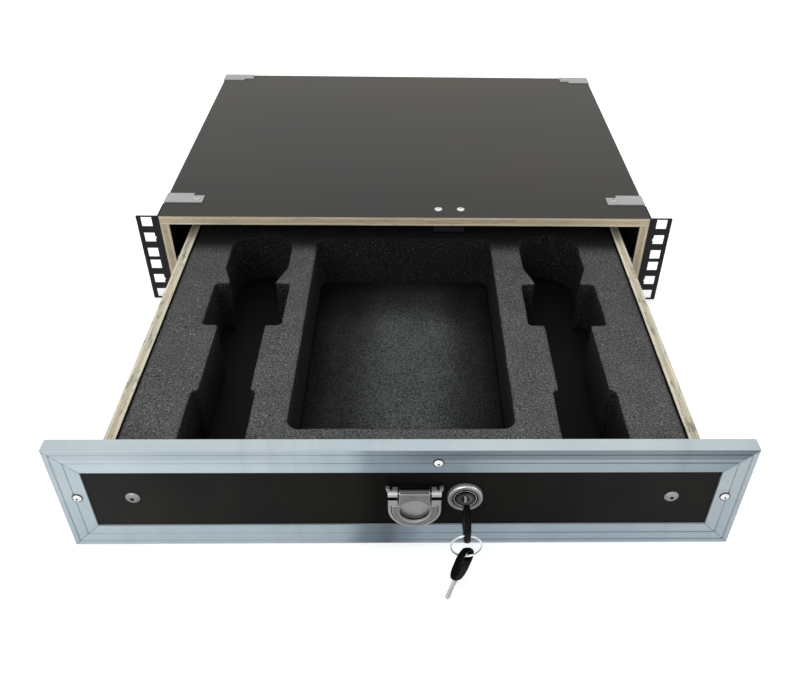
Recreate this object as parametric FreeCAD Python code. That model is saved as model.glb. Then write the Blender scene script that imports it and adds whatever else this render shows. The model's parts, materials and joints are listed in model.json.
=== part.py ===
import FreeCAD, Part
import math
import os

# Two-unit sliding rack drawer in a plywood case: front at -Y, up is +Z, all sizes in millimetres.
# The origin is the centre of the case's underside, and the drawer is drawn out to its stop.

# ---- rack and case ----------------------------------------------------------------------------
RACK_SPACE_HEIGHT = 44.45
RACK_SPACES = 2
RACK_GAP = 0.8              # the height a unit leaves free in its rack space
CASE_DEPTH = 351.0
CASE_PLY = 8.3
EAR_SPAN = 482.6            # over both ears, the nineteen-inch panel width
EAR_REACH = 20.3            # of each ear beyond the case's side
EAR_THICKNESS = 1.5
EAR_LEG = 24.0
EAR_HOLE = 9.7
EAR_HOLE_INSET = 8.75       # from the ear's outer edge to the middle of its column of holes
EAR_HOLE_OFFSETS = (6.35, 22.225, 38.1)
EAR_NOTCH_DEPTH = 1.2
EAR_NOTCH_HEIGHT = 4.0
EAR_SCREW_INSET = 15.0      # from the ear's ends to its outer screws
EAR_SCREW_SETBACK = 12.1    # from the ear's front to its row of screws
SHEET_BEND = 0.9            # the outer radius of a sheet's corner, as a share of its thickness

BRACKET_THICKNESS = 1.0
BRACKET_SETBACK = 25.2      # front brackets, behind the case's front edge
BRACKET_WIDTH = 17.2
BRACKET_LEG = 24.0
BRACKET_TAB = 10.0
BRACKET_TAB_WIDTH = 12.8
BRACKET_RIVET_INSET = 4.2   # from the wide leg to the rivet in the tab

# ---- drawer box -------------------------------------------------------------------------------
DRAWER_LENGTH = 330.0
DRAWER_WALL = 8.0
DRAWER_FRONT_BOARD = 9.0
DRAWER_WALL_TOP = 65.0
DRAWER_FLOOR_GAP = 1.9      # under the drawer, above the case's floor
DRAWER_FLOOR = 3.2
DRAWER_REBATE = 4.0
TRAVEL = 283.5
CLOSED_GAP = 0.4            # between the panel's back and the case's front edge when shut

# ---- front panel and its aluminium frame ------------------------------------------------------
PANEL_PLY = 9.0
PANEL_OVERLAP = 2.1         # the frame stands this far outside the case on each side
PANEL_RISE = 1.6            # and this far above its top
FRAME_THICKNESS = 1.3
FRAME_FLANGE = 19.5
FRAME_EDGE_RADIUS = 0.9
FRAME_GROOVE = 0.5
FRAME_GROOVES = (4.0, 11.2)
FRAME_RIVET_INSET = 12.9    # of the side rivets, from the frame's outer edge
FRAME_TOP_RIVET_INSET = 10.8
FRAME_TOP_RIVET_X = 21.7
FRAME_RIVET_HEIGHT = 47.2
PANEL_BOLT_HEIGHT = 46.0
PANEL_BOLT_INSET = 24.55     # from the drawer's side to each panel bolt

# ---- telescopic slides ------------------------------------------------------------------------
SLIDE_THICKNESS = 12.7
SLIDE_HEIGHT = 35.3
SLIDE_LENGTH = 300.0
SLIDE_SETBACK = 4.0
SLIDE_LIFT = 1.2            # above the case's floor
MIDDLE_SHORTER = 10.0
OUTER_STRIP = 1.2
MIDDLE_STRIP = 1.0
INNER_STRIP = 1.0
CAGE_STRIP = 0.5
CAGE_GAP = 0.3
CAGE_LENGTH = 120.0
BALL_RADIUS = 1.6
RACE_RADIUS = 1.72
BALLS_PER_ROW = 3
BALL_STEP_ACROSS = 3.6      # from the outer row of balls to the inner row
BEND_RADIUS = 1.0
OUTER_BEND_RADIUS = 1.7
SLIDE_SCREW_INSET = 35.0
OUTER_CURL = 80             # degrees that each member's edge curls round its balls
MIDDLE_CURL = 60
INNER_CURL = 50
OUTER_CAGE_SETBACK = 18.0   # from the case member's front to its cage
INNER_CAGE_SETBACK = 24.0   # from the drawer member's rear to its cage

# ---- foam -------------------------------------------------------------------------------------
FOAM_TOP_DROP = 1.5         # below the drawer walls' top
FOAM_CLEARANCE = 0.4
SLOT_CENTRE = 130.0
SLOT_FRONT_WALL = 11.0
SLOT_BODY_HALF = 22.7
SLOT_NECK_HALF = 18.2
SLOT_GRIP_HALF = 31.0
SLOT_HEAD_HALF = 26.5
SLOT_BODY_LENGTH = 57.0
SLOT_NECK_LENGTH = 79.0
SLOT_GRIP_LENGTH = 58.5
SLOT_FLARE_LENGTH = 25.0
SLOT_HEAD_LENGTH = 30.0
SLOT_CORNER = 3.0
FILLET_SHARE = 0.45         # of the smallest step, where a corner's radius would not fit
POCKET_WIDTH = 157.0
POCKET_LENGTH = 250.0
POCKET_FRONT_WALL = 28.5
POCKET_SHIFT = -2.0
POCKET_CORNER = 9.0
POCKET_PAD = 3.0
LOCK_NOTCH_SPARE = 3.0

# ---- lock, keeper and keys --------------------------------------------------------------------
LOCK_X = 39.6
LOCK_HEIGHT = 47.5
BEZEL_RADIUS = 11.9
BEZEL_DEPTH = 3.6
BEZEL_RECESS = 1.5          # the ring sunk round the plug: its width and its depth
BARREL_RADIUS = 9.4
PLUG_RADIUS = 6.3
LOCK_NUT_FLATS = 24.0
LOCK_NUT_DEPTH = 3.4
CAM_REACH = 27.0
CAM_WIDTH = 12.0
CAM_THICKNESS = 1.8
CAM_GAP = 0.3
CAM_SQUARE = 7.0            # across the flats of the plug's square end
CAM_STUD_RADIUS = 2.8
CAM_HUB = 14.0
CAM_CORNER = 3.0
CAM_NUT_FLATS = 9.0
CAM_NUT_DEPTH = 2.4
KEEPER_THICKNESS = 1.5
KEEPER_WIDTH = 28.0
KEEPER_FLANGE = 14.5
KEEPER_DROP = 11.8
KEEPER_CAM_GAP = 1.0
KEEPER_RIVET_SPAN = 20.4
KEY_BLADE = 1.5
KEY_BLADE_WIDTH = 6.0
KEY_BLADE_LENGTH = 13.5
KEY_INSERTED = 4.5
KEY_BOW_LENGTH = 22.0
KEY_BOW_WIDTH = 22.0
KEY_BOW_THICKNESS = 5.0
KEY_BOW_CORNER = 8.0
KEY_SOCKET = 7.5            # the blade's depth in the bow
KEY_SLOT = 6.0              # across the slot for the ring
KEY_SLOT_LENGTH = 12.4
KEY_SLOT_INSET = 4.8        # from the bow's end to the slot's middle
KEY_TIP_CUT = 1.6
KEY_NOTCH = 1.5
KEY_NOTCHES = (0.35, 0.55, 0.75)    # places of the cuts, as shares of the blade's length
RING_RADIUS = 9.8
RING_WIRE = 0.7             # half the width of the ring's flat wire
RING_DROP = 4.8             # the ring's wire lies this far under the middle of the first key's slot
SPARE_RISE = 0.45           # the middle of the hanging key's slot is this far along from the ring's wire
SPARE_LEAN = 44.0           # degrees that the hanging key leans out from the vertical
SPARE_TURN = 35.0           # degrees that it is turned about the vertical

# ---- handle -----------------------------------------------------------------------------------
HANDLE_X = 6.8
HANDLE_WIDTH = 34.4
HANDLE_TOP = 57.8
HANDLE_PLATE = 2.0
HANDLE_RIM = 1.7
HANDLE_RIM_HEIGHT = 3.7
HANDLE_FLAP = 3.6
HANDLE_FINGER_RADIUS = 10.1
HANDLE_FINGER_HEIGHT = 38.0
HANDLE_NECK = 21.0
HANDLE_BARREL_RADIUS = 2.5
HANDLE_EAR_RADIUS = 3.1
HANDLE_EAR_WIDTH = 6.2
HANDLE_HORN = 1.4           # the flare at each ear's outer top corner
HANDLE_HORN_ROOT = 4.5
HANDLE_FOOT_RISE = 1.8      # the foot's round is centred this far over the finger hole
HANDLE_PIN_RADIUS = 1.25
HANDLE_PIN_DROP = 3.2
HANDLE_SHOULDER = 5.0
HANDLE_SHOULDER_DROP = 9.0
HANDLE_SCREW_DROP = 11.5
HANDLE_SCREW_BITE = 3.8

# ---- fasteners --------------------------------------------------------------------------------
RIVET_HEAD = 3.4
RIVET_DOME = 1.5
RIVET_SHANK = 2.0
RIVET_MANDREL = 0.9
RIVET_GRIP = 7.0
RIVET_TAIL = 2.9
RIVET_TAIL_DEPTH = 1.4
BOLT_HEAD = 4.8
BOLT_DOME = 1.7
BOLT_SHANK = 3.0
INSERT_RADIUS = 4.2
INSERT_LENGTH = 8.0
SCREW_HEAD = 3.4
SCREW_SHANK = 1.75
SCREW_CONE = 1.9
DOME_CROWN = 0.62           # a dome's flat crown, as a share of its head
FLATS_PER_FASTENER = 12
FLATS_PER_BALL = 8
SHORT_SCREW_LENGTH = 8.0
PAN_HEAD_DEPTH = 1.9
COUNTERBORE_SPARE = 0.4

# ---- clearances -------------------------------------------------------------------------------
HOLE_FIT = 0.05
MOVING_GAP = 0.3

# ---- derived places ---------------------------------------------------------------------------
CASE_HEIGHT = RACK_SPACES * RACK_SPACE_HEIGHT - RACK_GAP
PANEL_HEIGHT = CASE_HEIGHT + PANEL_RISE
HALF_WIDTH = EAR_SPAN / 2 - EAR_REACH
BAY_HALF = HALF_WIDTH - CASE_PLY
FRONT = -CASE_DEPTH / 2
REAR = CASE_DEPTH / 2
DRAWER_HALF = BAY_HALF - SLIDE_THICKNESS
DRAWER_FRONT = FRONT - TRAVEL - CLOSED_GAP
DRAWER_REAR = DRAWER_FRONT + DRAWER_LENGTH
BOARD_REAR = DRAWER_FRONT + DRAWER_FRONT_BOARD
DRAWER_BASE = CASE_PLY + DRAWER_FLOOR_GAP
FLOOR_TOP = DRAWER_BASE + DRAWER_FLOOR
PANEL_FACE = DRAWER_FRONT - PANEL_PLY
FRAME_FACE = PANEL_FACE - FRAME_THICKNESS
PANEL_HALF = HALF_WIDTH + PANEL_OVERLAP
FOAM_TOP = DRAWER_WALL_TOP - FOAM_TOP_DROP
FOAM_FRONT = BOARD_REAR + FOAM_CLEARANCE
SLIDE_CENTRE = CASE_PLY + SLIDE_LIFT + SLIDE_HEIGHT / 2
X_AXIS = FreeCAD.Vector(1, 0, 0)
Y_AXIS = FreeCAD.Vector(0, 1, 0)
Z_AXIS = FreeCAD.Vector(0, 0, 1)
SIDES = {"left": -1, "right": 1}


# ---- small helpers ----------------------------------------------------------------------------
def vec(x, y, z):
    return FreeCAD.Vector(x, y, z)


def block(x, y, z):
    """Box between the low and high value of each pair."""
    size = (max(x) - min(x), max(y) - min(y), max(z) - min(z))
    return Part.makeBox(*size, vec(min(x), min(y), min(z)))


def rod(radius, length, base, axis):
    return Part.makeCylinder(radius, length, base, axis)


def fused(solids):
    return solids[0].multiFuse(solids[1:]).removeSplitter()


def mirrored(shape):
    """The same shape on the other side of the middle plane."""
    return shape.mirror(vec(0, 0, 0), X_AXIS)


def on_side(shape, side):
    """A shape made for the right side, put on the side asked for."""
    return shape if side > 0 else mirrored(shape)


def save(name, solids):
    """Write one node as one STEP file, as a single solid or a group of separate ones."""
    shape = solids[0] if len(solids) == 1 else Part.makeCompound(solids)
    shape.exportStep("parts/" + name + ".step")


def turned(points, base, axis):
    """Solid of revolution: points are (radius, distance along the axis) of a closed outline."""
    wire = Part.makePolygon([vec(r, 0, h) for r, h in points + points[:1]])
    solid = Part.Face(wire).revolve(vec(0, 0, 0), Z_AXIS, 360)
    solid.Placement = FreeCAD.Placement(base, FreeCAD.Rotation(Z_AXIS, axis))
    return solid


def faceted(points, base, axis, flats=FLATS_PER_FASTENER):
    """Small turned piece in a few flats: points are (radius, distance along the axis) in order."""
    rings = []
    for radius, height in points:
        spread = [math.radians(360 * i / flats) for i in range(flats)]
        ring = [vec(radius * math.cos(a), radius * math.sin(a), height) for a in spread]
        rings.append(ring if radius else ring[:1])
    faces = []
    for low, high in zip(rings, rings[1:]):
        if len(low) == len(high):
            walls = [[low[i - 1], low[i], high[i], high[i - 1]] for i in range(flats)]
        elif len(low) == 1:
            walls = [low + [high[i], high[i - 1]] for i in range(flats)]
        else:
            walls = [high + [low[i - 1], low[i]] for i in range(flats)]
        faces += [outline_face(wall) for wall in walls]
    solid = Part.Solid(Part.makeShell(faces)).removeSplitter()
    if solid.Volume < 0:
        solid.reverse()
    return seated(solid, base, axis)


def outline_face(corners, radius=0.0):
    """Face with the given corner points and each corner rounded to the radius."""
    wire = Part.makePolygon(corners + corners[:1])
    if not radius:
        return Part.Face(wire)
    edges = []
    count = len(corners)
    starts = []
    ends = []
    for i in range(count):
        here = corners[i]
        back = (corners[i - 1] - here).normalize()
        ahead = (corners[(i + 1) % count] - here).normalize()
        half = back.getAngle(ahead) / 2
        reach = radius / math.tan(half)
        middle = here + (back + ahead).normalize() * (radius / math.sin(half) - radius)
        starts.append(here + back * reach)
        ends.append(here + ahead * reach)
        edges.append(Part.Arc(starts[i], middle, ends[i]).toShape())
    for i in range(count):
        edges.append(Part.LineSegment(ends[i], starts[(i + 1) % count]).toShape())
    return Part.Face(Part.Wire(Part.__sortEdges__(edges)))


# ---- fasteners --------------------------------------------------------------------------------
def seated(solid, seat, axis):
    """Move a fastener made at the origin to its seat, with its head facing along the axis."""
    solid.Placement = FreeCAD.Placement(seat, FreeCAD.Rotation(Z_AXIS, axis))
    return solid


def domed(head, dome, shank, length, seat, axis):
    """Fastener with a low dome outside the seat and a shank along -axis."""
    crown = head * DOME_CROWN
    outline = [(0, -length), (shank, -length), (shank, 0), (head, 0), (crown, dome), (0, dome)]
    return faceted(outline, seat, axis)


def rivet(seat, axis, grip=RIVET_GRIP):
    """Blind rivet: domed head with its mandrel's dimple outside the seat, shank along -axis."""
    crown = RIVET_HEAD * DOME_CROWN
    outline = [(0, -grip), (RIVET_SHANK, -grip), (RIVET_SHANK, 0), (RIVET_HEAD, 0),
               (crown, RIVET_DOME), (RIVET_MANDREL, RIVET_DOME), (0, RIVET_DOME / 2)]
    return faceted(outline, seat, axis)


def shank_hole(radius, seat, axis, length):
    """Cutter for a fastener's shank, its fit wider and as deep as the length."""
    width = radius + HOLE_FIT
    return faceted([(0, -length), (width, -length), (width, 0), (0, 0)], seat, axis)


def rivet_hole(seat, axis, grip=RIVET_GRIP):
    return shank_hole(RIVET_SHANK, seat, axis, grip + HOLE_FIT)


def screw_hole(seat, axis, length):
    return shank_hole(SCREW_SHANK, seat, axis, length + HOLE_FIT)


def countersunk(seat, axis, length, spare=0.0):
    """Flat-head screw whose head is flush at the seat; spare widens it into its own hole."""
    head = SCREW_HEAD + spare
    shank = SCREW_SHANK + spare
    points = [(0, -length - spare), (shank, -length - spare), (shank, -SCREW_CONE), (head, 0), (0, 0)]
    return faceted(points, seat, axis)


def pan_head(seat, axis, length):
    """Pan-head screw: head outside the seat, shank along -axis."""
    return domed(SCREW_HEAD, PAN_HEAD_DEPTH, SCREW_SHANK, length, seat, axis)


def hex_nut(flats, depth, bore, base):
    """Hexagon nut with its axis along Y."""
    across = flats / math.sqrt(3)
    corners = [vec(across * math.cos(math.radians(a)), 0, across * math.sin(math.radians(a)))
               for a in range(0, 360, 60)]
    nut = outline_face(corners).extrude(vec(0, depth, 0))
    nut.translate(base)
    return nut.cut(rod(bore, depth, base, Y_AXIS))


# ---- places of fasteners shared by the pieces they join ----------------------------------------
def ear_screw_seats():
    heights = (EAR_SCREW_INSET, CASE_HEIGHT / 2, CASE_HEIGHT - EAR_SCREW_INSET)
    y = FRONT + EAR_SCREW_SETBACK
    return [vec(HALF_WIDTH + EAR_THICKNESS, y, z) for z in heights]


def bracket_spans():
    """The front and the rear bracket: its straight edge's Y and the way its width runs."""
    return [(FRONT + BRACKET_SETBACK, 1), (REAR, -1)]


def bracket_rivet_seats():
    """Seats and axes of one right-hand bracket pair's rivets, on the top leg and the side leg."""
    reach = HALF_WIDTH - BRACKET_LEG - BRACKET_RIVET_INSET
    drop = CASE_HEIGHT - BRACKET_LEG - BRACKET_RIVET_INSET
    seats = []
    for edge, way in bracket_spans():
        y = edge + way * BRACKET_TAB_WIDTH / 2
        seats.append((vec(reach, y, CASE_HEIGHT + BRACKET_THICKNESS), Z_AXIS))
        seats.append((vec(HALF_WIDTH + BRACKET_THICKNESS, y, drop), X_AXIS))
    return seats


def keeper_place():
    """Front face of the keeper's hanging flange, ahead of the shut and locked cam."""
    return lock_cam_front() + TRAVEL - KEEPER_CAM_GAP - KEEPER_THICKNESS


def keeper_rivet_seats():
    y = keeper_place() + KEEPER_FLANGE / 2 - RIVET_SHANK
    return [vec(LOCK_X + s * KEEPER_RIVET_SPAN / 2, y, CASE_HEIGHT) for s in (-1, 1)]


def slide_screw_places(start):
    """Screw positions along a slide member that starts at the given Y."""
    return [start + SLIDE_SCREW_INSET, start + SLIDE_LENGTH - SLIDE_SCREW_INSET]


def frame_rivet_seats():
    side = PANEL_HALF - FRAME_RIVET_INSET
    return [vec(-side, FRAME_FACE, FRAME_RIVET_HEIGHT), vec(side, FRAME_FACE, FRAME_RIVET_HEIGHT),
            vec(FRAME_TOP_RIVET_X, FRAME_FACE, PANEL_HEIGHT - FRAME_TOP_RIVET_INSET)]


def panel_bolt_seats():
    return [vec(s * (DRAWER_HALF - PANEL_BOLT_INSET), PANEL_FACE, PANEL_BOLT_HEIGHT) for s in (-1, 1)]


def handle_screw_seats():
    """Under the head of each screw that holds the handle from behind the front board."""
    reach = (HANDLE_WIDTH - HANDLE_EAR_WIDTH) / 2
    depth = BOARD_REAR - PAN_HEAD_DEPTH - COUNTERBORE_SPARE
    return [vec(HANDLE_X + s * reach, depth, HANDLE_TOP - HANDLE_SCREW_DROP) for s in (-1, 1)]


def lock_cam_front():
    """Front face of the cam, behind the lock's nut."""
    return BOARD_REAR + LOCK_NUT_DEPTH + CAM_GAP * 2


# ---- case -------------------------------------------------------------------------------------
def make_case():
    x = (-HALF_WIDTH, HALF_WIDTH)
    y = (FRONT, REAR)
    inside = (CASE_PLY, CASE_HEIGHT - CASE_PLY)
    top = block(x, y, (CASE_HEIGHT - CASE_PLY, CASE_HEIGHT))
    bottom = block(x, y, (0, CASE_PLY))
    back = block((-BAY_HALF, BAY_HALF), (REAR - CASE_PLY, REAR), inside)
    side = block((BAY_HALF, HALF_WIDTH), y, inside)
    rivets = []
    for seat, axis in bracket_rivet_seats():
        cutter = rivet_hole(seat, axis)
        side = side.cut(cutter)
        top = top.cut(cutter).cut(mirrored(cutter))
        rivets.append(rivet(seat, axis))
    for seat in ear_screw_seats():
        side = side.cut(screw_hole(seat, X_AXIS, SHORT_SCREW_LENGTH))
    for y_place in slide_screw_places(FRONT + SLIDE_SETBACK):
        seat = vec(BAY_HALF - OUTER_STRIP, y_place, SLIDE_CENTRE)
        side = side.cut(countersunk(seat, X_AXIS * -1, SHORT_SCREW_LENGTH, HOLE_FIT))
    for seat in keeper_rivet_seats():
        top = top.cut(rivet_hole(seat, Z_AXIS, CASE_PLY))
    save("case_top_panel", [top])
    save("case_bottom_panel", [bottom])
    save("case_back_panel", [back])
    for name, way in SIDES.items():
        save("case_%s_side" % name, [on_side(side, way)])
    save("bracket_rivets", rivets + [mirrored(r) for r in rivets])


def make_brackets():
    """Folded corner straps: a wide leg and a narrower riveted tab on the top and on the side."""
    brackets = []
    outer = HALF_WIDTH + BRACKET_THICKNESS
    top = CASE_HEIGHT + BRACKET_THICKNESS
    for edge, way in bracket_spans():
        wide = (edge, edge + way * BRACKET_WIDTH)
        narrow = (edge, edge + way * BRACKET_TAB_WIDTH)
        reach = HALF_WIDTH - BRACKET_LEG
        drop = CASE_HEIGHT - BRACKET_LEG
        pieces = [block((reach, outer), wide, (CASE_HEIGHT, top)),
                  block((HALF_WIDTH, outer), wide, (drop, top)),
                  block((reach - BRACKET_TAB, reach), narrow, (CASE_HEIGHT, top)),
                  block((HALF_WIDTH, outer), narrow, (drop - BRACKET_TAB, drop))]
        bracket = fused(pieces)
        for seat, axis in bracket_rivet_seats():
            bracket = bracket.cut(rivet_hole(seat, axis))
        corner = [e for e in bracket.Edges if abs(e.CenterOfMass.x - outer) < HOLE_FIT
                  and abs(e.CenterOfMass.z - top) < HOLE_FIT]
        brackets.append(bracket.makeFillet(BRACKET_THICKNESS * SHEET_BEND, corner))
    save("corner_brackets", brackets + [mirrored(b) for b in brackets])


def make_ears():
    """Rack ears: a drilled front flange with square cage-nut holes and a leg on the case's side."""
    span = EAR_SPAN / 2
    ear = fused([block((HALF_WIDTH, span), (FRONT, FRONT + EAR_THICKNESS), (0, CASE_HEIGHT)),
                 block((HALF_WIDTH, HALF_WIDTH + EAR_THICKNESS), (FRONT, FRONT + EAR_LEG),
                       (0, CASE_HEIGHT))])
    column = span - EAR_HOLE_INSET
    half = EAR_HOLE / 2
    heights = [unit * RACK_SPACE_HEIGHT + offset - RACK_GAP / 2
               for unit in range(RACK_SPACES) for offset in EAR_HOLE_OFFSETS]
    for i, z in enumerate(heights):
        through = (FRONT, FRONT + EAR_THICKNESS)
        ear = ear.cut(block((column - half, column + half), through, (z - half, z + half)))
        if i % len(EAR_HOLE_OFFSETS) == 1:
            rise = EAR_NOTCH_HEIGHT / 2
            notch = [vec(column - half, FRONT, z + rise), vec(column - half, FRONT, z - rise),
                     vec(column - half - EAR_NOTCH_DEPTH, FRONT, z)]
            ear = ear.cut(outline_face(notch).extrude(vec(0, EAR_THICKNESS, 0)))
    for seat in ear_screw_seats():
        ear = ear.cut(screw_hole(seat, X_AXIS, SHORT_SCREW_LENGTH))
    screws = [pan_head(seat, X_AXIS, SHORT_SCREW_LENGTH) for seat in ear_screw_seats()]
    for name, way in SIDES.items():
        save("rack_ear_" + name, [on_side(ear, way)])
    save("ear_screws", screws + [mirrored(s) for s in screws])


def make_keeper():
    """Angle under the case's top that the lock's cam turns up behind."""
    x = (LOCK_X - KEEPER_WIDTH / 2, LOCK_X + KEEPER_WIDTH / 2)
    ceiling = CASE_HEIGHT - CASE_PLY
    y = keeper_place()
    flat = block(x, (y, y + KEEPER_FLANGE), (ceiling - KEEPER_THICKNESS, ceiling))
    hanging = block(x, (y, y + KEEPER_THICKNESS), (ceiling - KEEPER_DROP, ceiling))
    keeper = fused([flat, hanging])
    grip = CASE_PLY + KEEPER_THICKNESS
    rivets = []
    for seat in keeper_rivet_seats():
        keeper = keeper.cut(rivet_hole(seat, Z_AXIS, grip))
        tail_end = vec(seat.x, seat.y, seat.z - grip)
        outline = [(0, -RIVET_TAIL_DEPTH), (RIVET_TAIL, -RIVET_TAIL_DEPTH), (RIVET_TAIL, 0), (0, 0)]
        rivets.append(fused([rivet(seat, Z_AXIS, grip), faceted(outline, tail_end, Z_AXIS)]))
    save("lock_keeper", [keeper])
    save("keeper_rivets", rivets)


# ---- telescopic slides ------------------------------------------------------------------------
def rolled_section(width, moves, strip):
    """Closed face of a bent strip, symmetric about its middle height.

    It starts on the middle at the given distance from the bay's wall, heading up. Each move is
    ("line", length) or ("bend", radius, degrees), a positive bend turning towards the wall.
    """
    def walk(place, heading, steps):
        stations = [(place, heading)]
        for step in steps:
            x, z = place
            if step[0] == "line":
                place = (x + step[1] * math.cos(heading), z + step[1] * math.sin(heading))
            else:
                swing = math.radians(step[2])
                side = math.copysign(step[1], swing)
                cx = x - side * math.sin(heading)
                cz = z + side * math.cos(heading)
                heading += swing
                place = (cx + side * math.sin(heading), cz - side * math.cos(heading))
            stations.append((place, heading))
        return stations

    tip, way = walk((width, 0.0), math.pi / 2, moves)[-1]
    steps = moves[::-1] + moves
    start = (tip[0], -tip[1])
    stations = walk(start, math.pi - way, steps)

    def offset(station, shift):
        (x, z), heading = station
        return vec(x - shift * math.sin(heading), 0, z + shift * math.cos(heading))

    edges = []
    for shift in (-strip / 2, strip / 2):
        for i, step in enumerate(steps):
            first = offset(stations[i], shift)
            last = offset(stations[i + 1], shift)
            if step[0] == "line":
                edges.append(Part.LineSegment(first, last).toShape())
                continue
            half = ("bend", step[1], step[2] / 2)
            middle = offset(walk(*stations[i], [half])[-1], shift)
            edges.append(Part.Arc(first, middle, last).toShape())
    for end in (stations[0], stations[-1]):
        edges.append(Part.LineSegment(offset(end, -strip / 2), offset(end, strip / 2)).toShape())
    return Part.Face(Part.Wire(Part.__sortEdges__(edges)))


def slide_member(section, start, length):
    """Extrude a section, given by its distance from the bay's wall, on the right-hand side."""
    face = section.mirror(vec(0, 0, 0), X_AXIS)
    face.translate(vec(BAY_HALF, start, SLIDE_CENTRE))
    return face.extrude(vec(0, length, 0))


def slide_rows():
    """Distance from the wall and height above the middle of the outer and the inner ball rows."""
    web = OUTER_STRIP + CAGE_GAP * 2 + CAGE_STRIP + MIDDLE_STRIP / 2
    outer = (web + BEND_RADIUS, SLIDE_HEIGHT / 2 - OUTER_STRIP - RACE_RADIUS)
    pitch = 2 * RACE_RADIUS + MIDDLE_STRIP
    fall = math.sqrt(pitch ** 2 - BALL_STEP_ACROSS ** 2)
    inner = (outer[0] + BALL_STEP_ACROSS, outer[1] - fall)
    return web, outer, inner


def outer_member(start):
    _, row, _ = slide_rows()
    wrap = RACE_RADIUS + OUTER_STRIP / 2
    web = OUTER_STRIP / 2
    rise = row[1] + wrap - OUTER_BEND_RADIUS
    moves = [("line", rise), ("bend", OUTER_BEND_RADIUS, -90),
             ("line", row[0] - web - OUTER_BEND_RADIUS), ("bend", wrap, -OUTER_CURL)]
    return slide_member(rolled_section(web, moves, OUTER_STRIP), start, SLIDE_LENGTH)


def middle_member(start):
    web, outer, inner = slide_rows()
    wrap = RACE_RADIUS + MIDDLE_STRIP / 2
    slope = math.degrees(math.atan2(inner[0] - outer[0], outer[1] - inner[1]))
    rise = outer[1] - wrap - BEND_RADIUS
    moves = [("line", rise), ("bend", BEND_RADIUS, -90), ("bend", wrap, slope),
             ("bend", wrap, -slope), ("bend", wrap, -MIDDLE_CURL)]
    return slide_member(rolled_section(web, moves, MIDDLE_STRIP), start, SLIDE_LENGTH - MIDDLE_SHORTER)


def inner_member(start):
    _, _, row = slide_rows()
    web = SLIDE_THICKNESS - INNER_STRIP / 2
    wrap = RACE_RADIUS + INNER_STRIP / 2
    rise = row[1] - wrap - BEND_RADIUS
    moves = [("line", rise), ("bend", BEND_RADIUS, 90), ("line", web - BEND_RADIUS - row[0]),
             ("bend", wrap, -INNER_CURL)]
    return slide_member(rolled_section(web, moves, INNER_STRIP), start, SLIDE_LENGTH)


def ball_places(row, start):
    """Centres of the balls of one cage, a row above and a row below, on the right-hand side."""
    pitch = CAGE_LENGTH / BALLS_PER_ROW
    return [vec(BAY_HALF - row[0], start + pitch * (i + 0.5), SLIDE_CENTRE + s * row[1])
            for s in (-1, 1) for i in range(BALLS_PER_ROW)]


def ball(place):
    edge = BALL_RADIUS * math.sin(math.pi / 4)
    outline = [(0, -BALL_RADIUS), (edge, -edge), (BALL_RADIUS, 0), (edge, edge), (0, BALL_RADIUS)]
    return faceted(outline, place, Z_AXIS, FLATS_PER_BALL)


def cage(web, row, height, start):
    """Pressed strip with notched flanges that space the balls, on the right-hand side."""
    inner = BAY_HALF - row[0]
    outer = BAY_HALF - web
    z = (SLIDE_CENTRE - height, SLIDE_CENTRE + height)
    y = (start, start + CAGE_LENGTH)
    strip = block((inner, outer), y, z)
    hollow = block((inner, outer - CAGE_STRIP), y, (z[0] + CAGE_STRIP, z[1] - CAGE_STRIP))
    strip = strip.cut(hollow)
    reach = BALL_RADIUS + CAGE_GAP / 2
    for place in ball_places(row, start):
        notch = block((inner, place.x + reach), (place.y - reach, place.y + reach),
                      (place.z - BALL_RADIUS, place.z + BALL_RADIUS))
        strip = strip.cut(notch)
    return strip


def make_slides():
    """Three-member ball-bearing slides: case member, middle member, drawer member and cages."""
    _, outer_row, inner_row = slide_rows()
    fixed = FRONT + SLIDE_SETBACK
    moved = fixed - TRAVEL
    halfway = fixed - TRAVEL / 2
    outer_web = OUTER_STRIP + CAGE_GAP
    inner_web = outer_web + CAGE_STRIP + CAGE_GAP + MIDDLE_STRIP + CAGE_GAP * 2
    outer_start = fixed + OUTER_CAGE_SETBACK
    inner_start = moved + SLIDE_LENGTH - CAGE_LENGTH - INNER_CAGE_SETBACK
    parts = {
        "slide_outer": outer_member(fixed),
        "slide_middle": middle_member(halfway),
        "slide_inner": inner_member(moved),
        "outer_cage": cage(outer_web, outer_row, outer_row[1] + CAGE_STRIP / 2, outer_start),
        "inner_cage": cage(inner_web, inner_row, inner_row[1] - CAGE_STRIP / 2, inner_start),
    }
    balls = {
        "outer_balls": [ball(p) for p in ball_places(outer_row, outer_start)],
        "inner_balls": [ball(p) for p in ball_places(inner_row, inner_start)],
    }
    screws = []
    for y in slide_screw_places(fixed):
        seat = vec(BAY_HALF - OUTER_STRIP, y, SLIDE_CENTRE)
        parts["slide_outer"] = parts["slide_outer"].cut(
            countersunk(seat, X_AXIS * -1, SHORT_SCREW_LENGTH, HOLE_FIT))
        screws.append(countersunk(seat, X_AXIS * -1, SHORT_SCREW_LENGTH))
    inner_screws = []
    for y in slide_screw_places(moved):
        seat = vec(DRAWER_HALF + INNER_STRIP, y, SLIDE_CENTRE)
        parts["slide_inner"] = parts["slide_inner"].cut(screw_hole(seat, X_AXIS, SHORT_SCREW_LENGTH))
        inner_screws.append(pan_head(seat, X_AXIS, SHORT_SCREW_LENGTH))
    for name, way in SIDES.items():
        for piece, solid in parts.items():
            save("%s_%s" % (piece, name), [on_side(solid, way)])
        for piece, solids in balls.items():
            save("%s_%s" % (piece, name), [on_side(s, way) for s in solids])
    save("slide_case_screws", screws + [mirrored(s) for s in screws])
    save("slide_drawer_screws", inner_screws + [mirrored(s) for s in inner_screws])


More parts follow.
